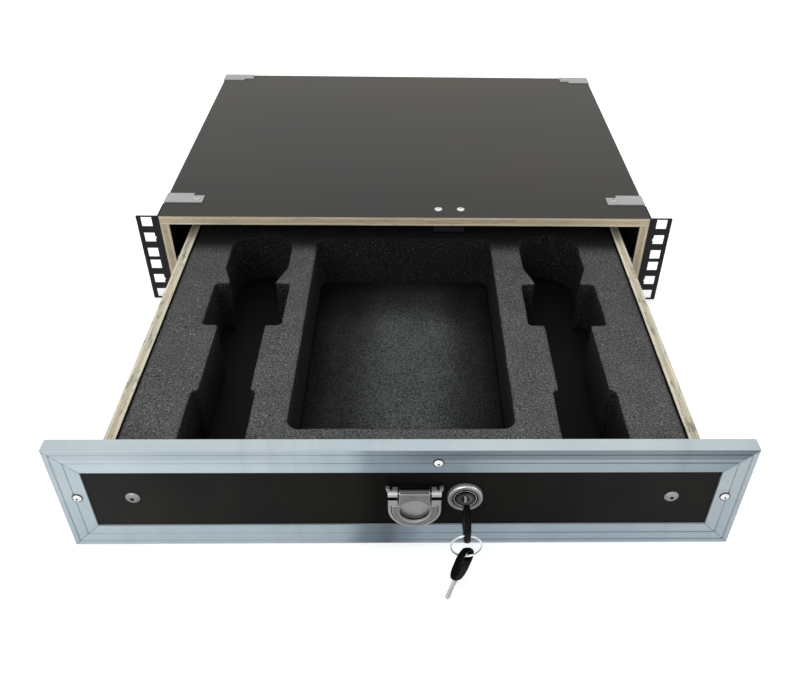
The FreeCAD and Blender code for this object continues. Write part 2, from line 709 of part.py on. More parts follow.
# ---- drawer box -------------------------------------------------------------------------------
def make_drawer_box():
    """Plywood box: sides, front board and back round a thin floor let into rebates."""
    inner = DRAWER_HALF - DRAWER_WALL
    z = (DRAWER_BASE, DRAWER_WALL_TOP)
    floor_half = inner + DRAWER_REBATE
    floor_front = BOARD_REAR - DRAWER_REBATE
    floor = block((-floor_half, floor_half), (floor_front, DRAWER_REAR), (DRAWER_BASE, FLOOR_TOP))
    side = block((inner, DRAWER_HALF), (DRAWER_FRONT, DRAWER_REAR), z)
    board = block((-inner, inner), (DRAWER_FRONT, BOARD_REAR), z)
    back = block((-inner, inner), (DRAWER_REAR - DRAWER_WALL, DRAWER_REAR), (FLOOR_TOP, DRAWER_WALL_TOP))
    side = side.cut(block((inner, floor_half), (floor_front, DRAWER_REAR), (DRAWER_BASE, FLOOR_TOP)))
    board = board.cut(floor)
    for y in slide_screw_places(FRONT + SLIDE_SETBACK - TRAVEL):
        seat = vec(DRAWER_HALF + INNER_STRIP, y, SLIDE_CENTRE)
        side = side.cut(screw_hole(seat, X_AXIS, SHORT_SCREW_LENGTH))
    for seat in panel_bolt_seats():
        place = vec(seat.x, DRAWER_FRONT, seat.z)
        board = board.cut(shank_hole(INSERT_RADIUS - HOLE_FIT, place, Y_AXIS * -1, INSERT_LENGTH))
    for seat in handle_screw_seats():
        board = board.cut(screw_hole(seat, Y_AXIS, DRAWER_FRONT_BOARD))
        mouth = vec(seat.x, BOARD_REAR, seat.z)
        board = board.cut(shank_hole(SCREW_HEAD + COUNTERBORE_SPARE, mouth, Y_AXIS, BOARD_REAR - seat.y))
    lock = vec(LOCK_X, DRAWER_FRONT, LOCK_HEIGHT)
    board = board.cut(rod(BARREL_RADIUS + HOLE_FIT, DRAWER_FRONT_BOARD, lock, Y_AXIS))
    save("drawer_front_board", [board])
    save("drawer_back", [back])
    save("drawer_floor", [floor])
    for name, way in SIDES.items():
        save("drawer_%s_side" % name, [on_side(side, way)])


# ---- front panel ------------------------------------------------------------------------------
def make_panel():
    """Plywood front with its bolts and the threaded inserts that they draw up in the board."""
    half = PANEL_HALF - FRAME_THICKNESS
    z = (FRAME_THICKNESS, PANEL_HEIGHT - FRAME_THICKNESS)
    panel = block((-half, half), (PANEL_FACE, DRAWER_FRONT), z)
    bolts = []
    inserts = []
    reach = PANEL_PLY + INSERT_LENGTH
    for seat in panel_bolt_seats():
        panel = panel.cut(shank_hole(BOLT_SHANK, seat, Y_AXIS * -1, PANEL_PLY))
        bolts.append(domed(BOLT_HEAD, BOLT_DOME, BOLT_SHANK, reach, seat, Y_AXIS * -1))
        outline = [(0, -INSERT_LENGTH), (INSERT_RADIUS, -INSERT_LENGTH), (INSERT_RADIUS, 0), (0, 0)]
        insert = faceted(outline, vec(seat.x, DRAWER_FRONT, seat.z), Y_AXIS * -1)
        inserts.append(insert.cut(bolts[-1]))
    for seat in frame_rivet_seats():
        panel = panel.cut(rivet_hole(seat, Y_AXIS * -1))
    for seat in handle_screw_seats():
        panel = panel.cut(screw_hole(seat, Y_AXIS, PANEL_PLY + DRAWER_FRONT_BOARD))
    panel = panel.cut(rod(BARREL_RADIUS + HOLE_FIT, PANEL_PLY, vec(LOCK_X, PANEL_FACE, LOCK_HEIGHT), Y_AXIS))
    save("front_panel", [panel])
    save("panel_bolts", bolts)
    save("panel_inserts", inserts)


def frame_rail(length):
    """One rail lying along X with its outer edge at the top, mitred at both ends."""
    flange = block((-length / 2, length / 2), (0, FRAME_THICKNESS), (-FRAME_FLANGE, 0))
    lip = block((-length / 2, length / 2), (0, FRAME_THICKNESS + PANEL_PLY), (-FRAME_THICKNESS, 0))
    rail = fused([flange, lip])
    for depth in FRAME_GROOVES:
        groove = [vec(-length, -FRAME_GROOVE, -depth + 2 * FRAME_GROOVE), vec(-length, FRAME_GROOVE, -depth),
                  vec(-length, -FRAME_GROOVE, -depth - 2 * FRAME_GROOVE)]
        rail = rail.cut(outline_face(groove).extrude(vec(2 * length, 0, 0)))
    front_edges = [e for e in rail.Edges if abs(e.CenterOfMass.y) < HOLE_FIT
                   and abs(e.CenterOfMass.z) < HOLE_FIT]
    rail = rail.makeFillet(FRAME_EDGE_RADIUS, front_edges)
    inner = length / 2 - FRAME_FLANGE
    corners = [vec(-length / 2, 0, 0), vec(length / 2, 0, 0), vec(inner, 0, -FRAME_FLANGE),
               vec(-inner, 0, -FRAME_FLANGE)]
    return rail.common(outline_face(corners).extrude(vec(0, FRAME_THICKNESS + PANEL_PLY, 0)))


def make_frame():
    """Aluminium edging: four grooved and mitred rails, and the rivets that hold them."""
    middle = PANEL_HEIGHT / 2
    rails = {
        "frame_top_rail": (2 * PANEL_HALF, 0, vec(0, FRAME_FACE, PANEL_HEIGHT)),
        "frame_bottom_rail": (2 * PANEL_HALF, 180, vec(0, FRAME_FACE, 0)),
        "frame_right_rail": (PANEL_HEIGHT, 90, vec(PANEL_HALF, FRAME_FACE, middle)),
        "frame_left_rail": (PANEL_HEIGHT, -90, vec(-PANEL_HALF, FRAME_FACE, middle)),
    }
    for name, (length, turn, place) in rails.items():
        rail = frame_rail(length)
        rail.Placement = FreeCAD.Placement(place, FreeCAD.Rotation(Y_AXIS, turn))
        for seat in frame_rivet_seats():
            rail = rail.cut(rivet_hole(seat, Y_AXIS * -1))
        save(name, [rail])
    save("frame_rivets", [rivet(seat, Y_AXIS * -1) for seat in frame_rivet_seats()])


# ---- foam -------------------------------------------------------------------------------------
def microphone_slot(depth):
    """Cutter for one slot: body, neck, finger recess, flare and round head, one after another."""
    pieces = []
    y = FOAM_FRONT + SLOT_FRONT_WALL
    for length, half in ((SLOT_BODY_LENGTH, SLOT_BODY_HALF), (SLOT_NECK_LENGTH, SLOT_NECK_HALF),
                         (SLOT_GRIP_LENGTH, SLOT_GRIP_HALF)):
        pieces.append(block((-half, half), (y, y + length), (0, depth)))
        y += length
    head = y + SLOT_FLARE_LENGTH
    crown = head + SLOT_HEAD_LENGTH
    flare = [vec(-SLOT_NECK_HALF, y, 0), vec(SLOT_NECK_HALF, y, 0),
             vec(SLOT_HEAD_HALF, head, 0), vec(-SLOT_HEAD_HALF, head, 0)]
    pieces.append(outline_face(flare).extrude(vec(0, 0, depth)))
    pieces.append(block((-SLOT_HEAD_HALF, SLOT_HEAD_HALF), (head, crown), (0, depth)))
    pieces.append(rod(SLOT_HEAD_HALF, depth, vec(0, crown, 0), Z_AXIS))
    slot = fused(pieces)
    upright = [e for e in slot.Edges if abs(e.BoundBox.ZLength - depth) < HOLE_FIT
               and e.CenterOfMass.y < y + HOLE_FIT]
    step = min(abs(SLOT_BODY_HALF - SLOT_NECK_HALF), abs(SLOT_GRIP_HALF - SLOT_NECK_HALF))
    return slot.makeFillet(min(SLOT_CORNER, step * FILLET_SHARE), upright)


def pocket_corners(spare=0.0):
    half = POCKET_WIDTH / 2 - spare
    front = FOAM_FRONT + POCKET_FRONT_WALL + spare
    rear = FOAM_FRONT + POCKET_FRONT_WALL + POCKET_LENGTH - spare
    x = (POCKET_SHIFT - half, POCKET_SHIFT + half)
    return [vec(x[0], front, 0), vec(x[1], front, 0), vec(x[1], rear, 0), vec(x[0], rear, 0)]


def make_foam():
    """Cut foam block with two microphone slots, a centre pocket and a notch for the lock."""
    half = DRAWER_HALF - DRAWER_WALL - FOAM_CLEARANCE
    rear = DRAWER_REAR - DRAWER_WALL - FOAM_CLEARANCE
    foam = block((-half, half), (FOAM_FRONT, rear), (FLOOR_TOP, FOAM_TOP))
    slot = microphone_slot(CASE_HEIGHT)
    for way in SIDES.values():
        cutter = slot.copy()
        cutter.translate(vec(way * SLOT_CENTRE, 0, 0))
        foam = foam.cut(cutter)
    foam = foam.cut(outline_face(pocket_corners(), POCKET_CORNER).extrude(vec(0, 0, CASE_HEIGHT)))
    nut_reach = LOCK_NUT_FLATS / math.sqrt(3) + LOCK_NOTCH_SPARE
    x = (LOCK_X - nut_reach, LOCK_X + CAM_REACH + LOCK_NOTCH_SPARE)
    back = lock_cam_front() + CAM_THICKNESS + CAM_NUT_DEPTH + LOCK_NOTCH_SPARE
    foam = foam.cut(block(x, (FOAM_FRONT, back), (FLOOR_TOP, FOAM_TOP)))
    save("foam_insert", [foam])
    pad = outline_face(pocket_corners(FOAM_CLEARANCE), POCKET_CORNER).extrude(vec(0, 0, POCKET_PAD))
    pad.translate(vec(0, 0, FLOOR_TOP))
    save("pocket_pad", [pad])


# ---- lock -------------------------------------------------------------------------------------
def key_slot(spare):
    """Keyway through the plug, as wide and deep as the key's blade and its clearance."""
    half = KEY_BLADE / 2 + spare
    height = KEY_BLADE_WIDTH / 2 + spare
    depth = KEY_INSERTED + spare
    face = PANEL_FACE - BEZEL_DEPTH
    return block((LOCK_X - half, LOCK_X + half), (face, face + depth),
                 (LOCK_HEIGHT - height, LOCK_HEIGHT + height))


def make_lock():
    """Cam lock: bezel and barrel, nut, turning plug, cam and the nut that holds the cam."""
    axis_point = vec(LOCK_X, 0, LOCK_HEIGHT)
    barrel_end = BOARD_REAR + LOCK_NUT_DEPTH + CAM_GAP
    length = barrel_end - PANEL_FACE
    bore = PLUG_RADIUS + HOLE_FIT
    lip = PLUG_RADIUS + BEZEL_RECESS
    recess = BEZEL_DEPTH - BEZEL_RECESS
    outline = [(bore, -length), (BARREL_RADIUS, -length), (BARREL_RADIUS, 0), (BEZEL_RADIUS, 0),
               (BEZEL_RADIUS, BEZEL_DEPTH), (lip, BEZEL_DEPTH), (lip, recess), (bore, recess)]
    seat = axis_point + vec(0, PANEL_FACE, 0)
    body = turned(outline, seat, Y_AXIS * -1)
    cam_front = lock_cam_front()
    plug_front = PANEL_FACE - BEZEL_DEPTH
    plug = rod(PLUG_RADIUS, cam_front - plug_front, axis_point + vec(0, plug_front, 0), Y_AXIS)
    square = CAM_SQUARE / 2
    tail = cam_front + CAM_THICKNESS + CAM_NUT_DEPTH
    shaft = block((LOCK_X - square, LOCK_X + square), (cam_front, cam_front + CAM_THICKNESS),
                  (LOCK_HEIGHT - square, LOCK_HEIGHT + square))
    stud = rod(CAM_STUD_RADIUS, tail - cam_front, axis_point + vec(0, cam_front, 0), Y_AXIS)
    plug = fused([plug, shaft, stud]).cut(key_slot(MOVING_GAP))
    blade = block((LOCK_X, LOCK_X + CAM_REACH), (cam_front, cam_front + CAM_THICKNESS),
                  (LOCK_HEIGHT - CAM_WIDTH / 2, LOCK_HEIGHT + CAM_WIDTH / 2))
    hub = rod(CAM_HUB / 2, CAM_THICKNESS, axis_point + vec(0, cam_front, 0), Y_AXIS)
    cam = fused([blade, hub])
    tips = [e for e in cam.Edges if abs(e.CenterOfMass.x - LOCK_X - CAM_REACH) < HOLE_FIT
            and abs(e.BoundBox.YLength - CAM_THICKNESS) < HOLE_FIT]
    cam = cam.makeFillet(CAM_CORNER, tips).cut(shaft)
    nut = hex_nut(LOCK_NUT_FLATS, LOCK_NUT_DEPTH, BARREL_RADIUS, axis_point + vec(0, BOARD_REAR, 0))
    cam_nut_base = axis_point + vec(0, cam_front + CAM_THICKNESS, 0)
    save("lock_body", [body])
    save("lock_nut", [nut])
    save("lock_plug", [plug])
    save("lock_cam", [cam])
    save("cam_nut", [hex_nut(CAM_NUT_FLATS, CAM_NUT_DEPTH, CAM_STUD_RADIUS, cam_nut_base)])


# ---- keys -------------------------------------------------------------------------------------
def key_parts():
    """Bow and blade of a key lying along -Y, its ring hole's centre at the origin."""
    end = -KEY_SLOT_INSET
    root = end + KEY_BOW_LENGTH
    half = KEY_BOW_WIDTH / 2
    side = KEY_BOW_THICKNESS / 2
    corners = [vec(-side, end, -half), vec(-side, root, -half), vec(-side, root, half), vec(-side, end, half)]
    bow = outline_face(corners, KEY_BOW_CORNER).extrude(vec(KEY_BOW_THICKNESS, 0, 0))
    slot = (KEY_SLOT_LENGTH - KEY_SLOT) / 2
    ends = [rod(KEY_SLOT / 2, KEY_BOW_THICKNESS, vec(-side, 0, z), X_AXIS) for z in (-slot, slot)]
    waist = block((-side, side), (-KEY_SLOT / 2, KEY_SLOT / 2), (-slot, slot))
    bow = bow.cut(fused(ends + [waist]))
    width = KEY_BLADE_WIDTH / 2
    thick = KEY_BLADE / 2
    reach = root + KEY_BLADE_LENGTH
    tip = [vec(-thick, root - KEY_SOCKET, -width), vec(-thick, reach - KEY_TIP_CUT, -width),
           vec(-thick, reach, 0), vec(-thick, reach - KEY_TIP_CUT, width), vec(-thick, root - KEY_SOCKET, width)]
    blade = outline_face(tip).extrude(vec(KEY_BLADE, 0, 0))
    bow = bow.cut(blade)
    for share in KEY_NOTCHES:
        y = root + KEY_BLADE_LENGTH * share
        notch = [vec(-thick, y - KEY_NOTCH, width), vec(-thick, y, width - KEY_NOTCH),
                 vec(-thick, y + KEY_NOTCH, width)]
        blade = blade.cut(outline_face(notch).extrude(vec(KEY_BLADE, 0, 0)))
    return bow, blade


def make_keys():
    """Key in the lock, the ring through its bow, and the spare key hanging on the ring."""
    bow, blade = key_parts()
    face = PANEL_FACE - BEZEL_DEPTH
    hole_y = face + KEY_INSERTED - KEY_BLADE_LENGTH - KEY_BOW_LENGTH + KEY_SLOT_INSET
    place = FreeCAD.Placement(vec(LOCK_X, hole_y, LOCK_HEIGHT), FreeCAD.Rotation())
    for name, piece in (("key_bow", bow.copy()), ("key_blade", blade.copy())):
        piece.Placement = place
        save(name, [piece])
    top = LOCK_HEIGHT - RING_DROP
    centre = vec(LOCK_X, hole_y, top - RING_RADIUS)
    inner = RING_RADIUS - RING_WIRE
    outer = RING_RADIUS + RING_WIRE
    section = [(inner, -RING_WIRE), (outer, -RING_WIRE), (outer, RING_WIRE), (inner, RING_WIRE)]
    save("key_ring", [turned(section, centre, Y_AXIS)])
    hook = vec(LOCK_X, hole_y, top - 2 * RING_RADIUS)
    upright = FreeCAD.Rotation(X_AXIS, -90 - SPARE_LEAN)
    turn = FreeCAD.Rotation(Z_AXIS, -SPARE_TURN).multiply(upright)
    down = turn.multVec(Y_AXIS)
    place = FreeCAD.Placement(hook - down * SPARE_RISE, turn)
    for name, piece in (("spare_key_bow", bow), ("spare_key_blade", blade)):
        piece.Placement = place
        save(name, [piece])


# ---- handle -----------------------------------------------------------------------------------
def d_plate(spare, front, back, top):
    """D-shaped plate: straight sides down to a half-round foot, spare narrower all round."""
    radius = HANDLE_WIDTH / 2 - spare
    turn = HANDLE_FINGER_HEIGHT + HANDLE_FOOT_RISE
    x = (HANDLE_X - radius, HANDLE_X + radius)
    foot = rod(radius, back - front, vec(HANDLE_X, front, turn), Y_AXIS)
    foot = foot.common(block(x, (front, back), (turn - radius, turn)))
    return fused([block(x, (front, back), (turn, top)), foot])


def make_handle():
    """Flush pull: D-shaped base with knuckles, a pin, and a flap with a finger hole."""
    plate_face = PANEL_FACE - HANDLE_PLATE
    rim_face = plate_face - HANDLE_RIM_HEIGHT
    pin_y = plate_face - MOVING_GAP - HANDLE_BARREL_RADIUS
    pin_z = HANDLE_TOP - HANDLE_PIN_DROP
    half = HANDLE_WIDTH / 2
    shoulder_top = HANDLE_TOP - HANDLE_SHOULDER_DROP
    shoulder_low = shoulder_top - HANDLE_SHOULDER
    base = fused([d_plate(0, rim_face, PANEL_FACE, shoulder_top),
                  d_plate(0, plate_face, PANEL_FACE, HANDLE_TOP)])
    base = base.cut(d_plate(HANDLE_RIM, rim_face, plate_face, HANDLE_TOP))
    pieces = [base]
    for s in (-1, 1):
        outer = HANDLE_X + s * half
        inner = outer - s * HANDLE_EAR_WIDTH
        pieces.append(block((outer, inner), (rim_face, PANEL_FACE), (shoulder_low, shoulder_top)))
        low = pin_z - HANDLE_EAR_RADIUS
        pieces.append(block((outer, inner), (pin_y, PANEL_FACE), (low, HANDLE_TOP)))
        horn = [vec(outer, pin_y, HANDLE_TOP - HANDLE_HORN_ROOT),
                vec(outer + s * HANDLE_HORN, pin_y, HANDLE_TOP + HANDLE_HORN),
                vec(outer - s * HANDLE_HORN_ROOT, pin_y, HANDLE_TOP)]
        pieces.append(outline_face(horn).extrude(vec(0, HANDLE_EAR_RADIUS, 0)))
        barrel = vec(min(outer, inner), pin_y, pin_z)
        pieces.append(rod(HANDLE_EAR_RADIUS, HANDLE_EAR_WIDTH, barrel, X_AXIS))
    base = fused(pieces)
    pin_start = vec(HANDLE_X - half, pin_y, pin_z)
    base = base.cut(rod(HANDLE_PIN_RADIUS, HANDLE_WIDTH, pin_start, X_AXIS))
    screws = []
    length = BOARD_REAR - PAN_HEAD_DEPTH - COUNTERBORE_SPARE - PANEL_FACE + HANDLE_SCREW_BITE
    for seat in handle_screw_seats():
        base = base.cut(rod(SCREW_SHANK, HANDLE_SCREW_BITE, vec(seat.x, PANEL_FACE, seat.z), Y_AXIS * -1))
        screws.append(pan_head(seat, Y_AXIS, length))
    front = plate_face - MOVING_GAP - HANDLE_FLAP
    back = plate_face - MOVING_GAP
    flap = d_plate(HANDLE_RIM + MOVING_GAP, front, back, shoulder_low - MOVING_GAP)
    neck = (HANDLE_X - HANDLE_NECK / 2, HANDLE_X + HANDLE_NECK / 2)
    flap = fused([flap, block(neck, (front, back), (HANDLE_FINGER_HEIGHT, pin_z)),
                  rod(HANDLE_BARREL_RADIUS, HANDLE_NECK, vec(neck[0], pin_y, pin_z), X_AXIS)])
    finger = vec(HANDLE_X, front, HANDLE_FINGER_HEIGHT)
    flap = flap.cut(rod(HANDLE_FINGER_RADIUS, HANDLE_FLAP, finger, Y_AXIS))
    flap = flap.cut(rod(HANDLE_PIN_RADIUS + HOLE_FIT, HANDLE_NECK, vec(neck[0], pin_y, pin_z), X_AXIS))
    save("handle_base", [base])
    save("handle_flap", [flap])
    save("handle_pin", [rod(HANDLE_PIN_RADIUS, HANDLE_WIDTH, pin_start, X_AXIS)])
    save("handle_screws", screws)


os.makedirs("parts", exist_ok=True)
make_case()
make_brackets()
make_ears()
make_keeper()
make_slides()
make_drawer_box()
make_panel()
make_frame()
make_foam()
make_lock()
make_keys()
make_handle()
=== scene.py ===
import json
import math

import bmesh
import bpy
from mathutils import Matrix, Vector, noise


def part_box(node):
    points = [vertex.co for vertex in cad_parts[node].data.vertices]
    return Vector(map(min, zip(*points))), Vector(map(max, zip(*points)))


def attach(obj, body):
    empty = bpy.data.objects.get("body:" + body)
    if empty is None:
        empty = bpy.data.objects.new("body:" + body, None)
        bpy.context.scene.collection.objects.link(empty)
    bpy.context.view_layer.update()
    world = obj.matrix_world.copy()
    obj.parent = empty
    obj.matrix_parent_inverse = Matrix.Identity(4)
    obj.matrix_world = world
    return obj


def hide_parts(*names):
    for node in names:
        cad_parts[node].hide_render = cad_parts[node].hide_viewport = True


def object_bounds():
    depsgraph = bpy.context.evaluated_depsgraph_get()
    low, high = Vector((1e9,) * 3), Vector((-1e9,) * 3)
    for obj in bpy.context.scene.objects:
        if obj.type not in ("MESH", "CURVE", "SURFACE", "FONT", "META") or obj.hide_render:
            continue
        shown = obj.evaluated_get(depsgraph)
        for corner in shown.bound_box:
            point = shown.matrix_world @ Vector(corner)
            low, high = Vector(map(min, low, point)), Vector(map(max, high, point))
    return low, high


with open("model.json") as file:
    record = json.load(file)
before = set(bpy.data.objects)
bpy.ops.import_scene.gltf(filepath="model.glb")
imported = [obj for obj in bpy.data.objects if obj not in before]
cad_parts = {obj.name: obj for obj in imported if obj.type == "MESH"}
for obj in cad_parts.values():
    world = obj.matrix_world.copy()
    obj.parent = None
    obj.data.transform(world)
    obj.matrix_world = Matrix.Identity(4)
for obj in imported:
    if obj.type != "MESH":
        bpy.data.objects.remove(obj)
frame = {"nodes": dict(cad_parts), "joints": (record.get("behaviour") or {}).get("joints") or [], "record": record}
CAD_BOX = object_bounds()
NODES = frame["nodes"]
BODY = {n: b for b, names in frame["record"]["behaviour"]["bodies"].items() for n in names}
MM = 0.001
X, Y, Z = Vector((1, 0, 0)), Vector((0, 1, 0)), Vector((0, 0, 1))


# ---- shader helpers ---------------------------------------------------------------------------
class Shader:
    """A material under construction, with short calls for the nodes it needs."""

    def __init__(self, name, metallic=0.0, roughness=0.5, specular=0.5):
        self.mat = bpy.data.materials.new(name)
        self.mat.use_nodes = True
        self.tree = self.mat.node_tree
        self.bsdf = self.tree.nodes["Principled BSDF"]
        self.bsdf.inputs["Metallic"].default_value = metallic
        self.bsdf.inputs["Roughness"].default_value = roughness
        self.bsdf.inputs["Specular IOR Level"].default_value = specular
        coords = self.tree.nodes.new("ShaderNodeTexCoord")
        self.place = coords.outputs["Object"]
        self.facing = coords.outputs["Normal"]

    def node(self, kind, **inputs):
        node = self.tree.nodes.new(kind)
        for name, value in inputs.items():
            self.feed(node.inputs[name.replace("_", " ")], value)
        return node

    def feed(self, socket, value):
        if isinstance(value, bpy.types.NodeSocket):
            self.tree.links.new(value, socket)
        else:
            socket.default_value = value

    def math(self, kind, a, b=0.0, clamp=False):
        node = self.tree.nodes.new("ShaderNodeMath")
        node.operation = kind
        node.use_clamp = clamp
        self.feed(node.inputs[0], a)
        self.feed(node.inputs[1], b)
        return node.outputs[0]

    def stretched(self, x=1.0, y=1.0, z=1.0):
        """Coordinates with each axis scaled, so that a noise runs long across the small ones."""
        node = self.node("ShaderNodeVectorMath", Vector=self.place)
        node.operation = "MULTIPLY"
        node.inputs[1].default_value = (x, y, z)
        return node.outputs[0]

    def noise(self, scale, detail=3.0, roughness=0.55, vector=None):
        node = self.node("ShaderNodeTexNoise", Scale=scale, Detail=detail, Roughness=roughness)
        self.feed(node.inputs["Vector"], vector or self.place)
        return node.outputs["Fac"]

    def cells(self, scale):
        node = self.node("ShaderNodeTexVoronoi", Scale=scale, Vector=self.place)
        return node.outputs["Distance"]

    def ramp(self, value, stops, interpolation="LINEAR"):
        """Colours or greys along a value: stops are (position, colour or grey)."""
        node = self.node("ShaderNodeValToRGB", Fac=value)
        node.color_ramp.interpolation = interpolation
        elements = node.color_ramp.elements
        while len(elements) < len(stops):
            elements.new(0.5)
        for element, (place, colour) in zip(elements, stops):
            element.position = place
            grey = isinstance(colour, (int, float))
            element.color = (colour,) * 3 + (1,) if grey else tuple(colour) + (1,)
        return node.outputs["Color"]

    def mix(self, share, a, b, kind="MIX"):
        node = self.tree.nodes.new("ShaderNodeMix")
        node.data_type = "RGBA"
        node.blend_type = kind
        self.feed(node.inputs[0], share)
        for socket, value in ((node.inputs[6], a), (node.inputs[7], b)):
            if isinstance(value, bpy.types.NodeSocket):
                self.feed(socket, value)
            else:
                socket.default_value = ((value,) * 3 if isinstance(value, float) else tuple(value)) + (1,)
        return node.outputs[2]

    def axis(self, vector, index):
        node = self.node("ShaderNodeSeparateXYZ", Vector=vector)
        return node.outputs[index]

    def over(self, vector, index, limit):
        """1 where one axis of the vector is over the limit, else 0."""
        return self.math("GREATER_THAN", self.axis(vector, index), limit)

    def under(self, vector, index, limit):
        """1 where one axis of the vector is under the limit, else 0."""
        return self.math("LESS_THAN", self.axis(vector, index), limit)

    def both(self, first, *others):
        """The product of shares, 1 where all of them are 1."""
        for other in others:
            first = self.math("MULTIPLY", first, other)
        return first

    def from_line(self, middle):
        """Distance from the line along Y through the middle."""
        node = self.node("ShaderNodeVectorMath", Vector=self.stretched(1.0, 0.0, 1.0))
        node.operation = "DISTANCE"
        node.inputs[1].default_value = (middle.x, 0.0, middle.z)
        return node.outputs["Value"]

    def colour(self, value):
        self.feed(self.bsdf.inputs["Base Color"], value)

    def rough(self, value):
        self.feed(self.bsdf.inputs["Roughness"], value)

    def bump(self, height, distance, strength):
        node = self.node("ShaderNodeBump", Height=height, Distance=distance, Strength=strength)
        self.feed(self.bsdf.inputs["Normal"], node.outputs[0])


FACE_ON = 0.72              # least share of a normal along an axis, on a face across that axis
FLECK, WALL_FLECK = 0.3, 0.75   # strength of the dark flecks in the edges, more on the drawer's walls


def plywood(name, axis, low, high, film, edge, film_rough, gloss, inner, fleck, sweep):
    """Film-faced plywood: film across the given axis, laminations on the edges between low and high.

    The face whose normal points to the inner sign of the axis gets the black film of the inside, darker than the
    outside's as painted shade. Sweep is an axis and stops that paint sheen and shade on the film along it: over
    the frame's width for X, over the case's depth for Y."""
    s = Shader(name, specular=gloss)
    along = [26.0, 26.0, 26.0]
    along[axis] = 700.0
    fibre = s.noise(1.0, 4.0, 0.6, s.stretched(*along))
    drift = s.noise(18.0, 2.0)
    wander = s.math("MULTIPLY", s.math("SUBTRACT", drift, 0.5), (high - low) * 0.3)
    place = s.math("ADD", s.axis(s.place, axis), wander)
    depth = s.math("DIVIDE", s.math("SUBTRACT", place, low), high - low)
    light = tuple(edge)
    dark = tuple(c * t for c, t in zip(edge, (0.80, 0.76, 0.68)))
    glue = tuple(c * t for c, t in zip(edge, (0.66, 0.58, 0.48)))
    stops = [(0.0, glue), (0.06, light), (0.25, light), (0.30, glue), (0.34, dark), (0.62, dark), (0.67, glue),
             (0.71, light), (0.94, light), (1.0, glue)]
    layers = s.ramp(depth, stops)
    streak = s.ramp(fibre, [(0.3, 0.80), (0.7, 1.08)])
    wood = s.mix(0.85, layers, streak, "MULTIPLY")
    blotch = s.ramp(s.noise(34.0, 3.0, 0.6), [(0.38, (0.92, 0.97, 0.94)), (0.62, (1.06, 0.98, 0.93))])
    wood = s.mix(0.9, wood, blotch, "MULTIPLY")
    specks = s.ramp(s.noise(420.0, 2.0, 0.7), [(0.26, 0.30), (0.34, 1.0)])
    wood = s.mix(0.6, wood, specks, "MULTIPLY")
    knots = s.ramp(s.noise(95.0, 2.0, 0.6), [(0.235, 0.22), (0.275, 1.0)])
    wood = s.mix(0.8, wood, knots, "MULTIPLY")
    long = [420.0, 420.0, 420.0]
    long[1 if axis == 0 else 0] = 60.0
    flecks = s.ramp(s.noise(1.0, 3.0, 0.7, s.stretched(*long)), [(0.37, 0.34), (0.45, 1.0)])
    wood = s.mix(fleck, wood, flecks, "MULTIPLY")
    cloud = s.noise(7.0, 4.0, 0.6)
    run = (260.0, 14.0, 14.0) if axis == 1 else (14.0, 260.0, 14.0)
    grain = s.noise(1.0, 5.0, 0.65, s.stretched(*run))
    tint = s.mix(s.ramp(cloud, [(0.35, 0.0), (0.7, 1.0)]), tuple(c * 0.86 for c in film),
                 (film[0] * 1.45, film[1] * 1.34, film[2] * 1.12))
    tint = s.mix(0.3, tint, s.ramp(grain, [(0.3, 0.8), (0.7, 1.15)]), "MULTIPLY")
    scuff = s.ramp(s.noise(1.0, 6.0, 0.75, s.stretched(60.0, 9.0, 60.0)), [(0.7, 0.0), (0.82, 0.35)])
    tint = s.mix(scuff, tint, tuple(min(1.0, c * 2.2) for c in film))
    # painted sheen and shade along one axis of the film
    if sweep:
        way, stops = sweep
        start, end = (corner[way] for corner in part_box("frame_top_rail" if way == 0 else "case_top_panel"))
        share = s.math("DIVIDE", s.math("SUBTRACT", s.axis(s.place, way), start), end - start)
        tint = s.mix(1.0, tint, s.ramp(share, stops, "EASE"), "MULTIPLY")
    normal = s.axis(s.facing, axis)
    # inner faces take a darker film: painted shade inside the case and the drawer
    if inner:
        inside = s.math("GREATER_THAN", s.math("MULTIPLY", normal, float(inner)), FACE_ON)
        tint = s.mix(inside, tint, s.mix(0.5, INSIDE_FILM_PAINTED_SHADE, grain, "MULTIPLY"))
    face = s.math("GREATER_THAN", s.math("ABSOLUTE", normal), FACE_ON)
    s.colour(s.mix(face, wood, tint))
    s.rough(s.mix(face, 0.82, s.ramp(cloud, [(0.3, film_rough - 0.05), (0.7, film_rough + 0.08)])))
    fine = s.noise(1500.0, 2.0, 0.6)
    s.bump(s.mix(face, fibre, s.mix(0.5, fine, grain)), 0.00012, 0.5)
    return s.mat


# painted shade on the rims' slopes and the lower half, a painted shadow line along the mitres, and painted light
# on faces that look up
RIM_PAINTED_SHADE = (0.82, 0.82, 0.82)
LOWER_PAINTED_SHADE = (0.92, 0.93, 0.95)
MITRE_PAINTED_SHADOW = (0.6, 0.6, 0.62)
UPWARD_PAINTED_LIGHT = (1.13, 1.12, 1.11)
MITRE_HALF = 0.45 * MM      # half the width of the painted shadow line along each mitre
RIM_BAND = 2 * MM           # from the frame's outer edge, where slopes are rims and not grooves
FLANGE_BAND = 8 * MM        # the outer flange of the top rail


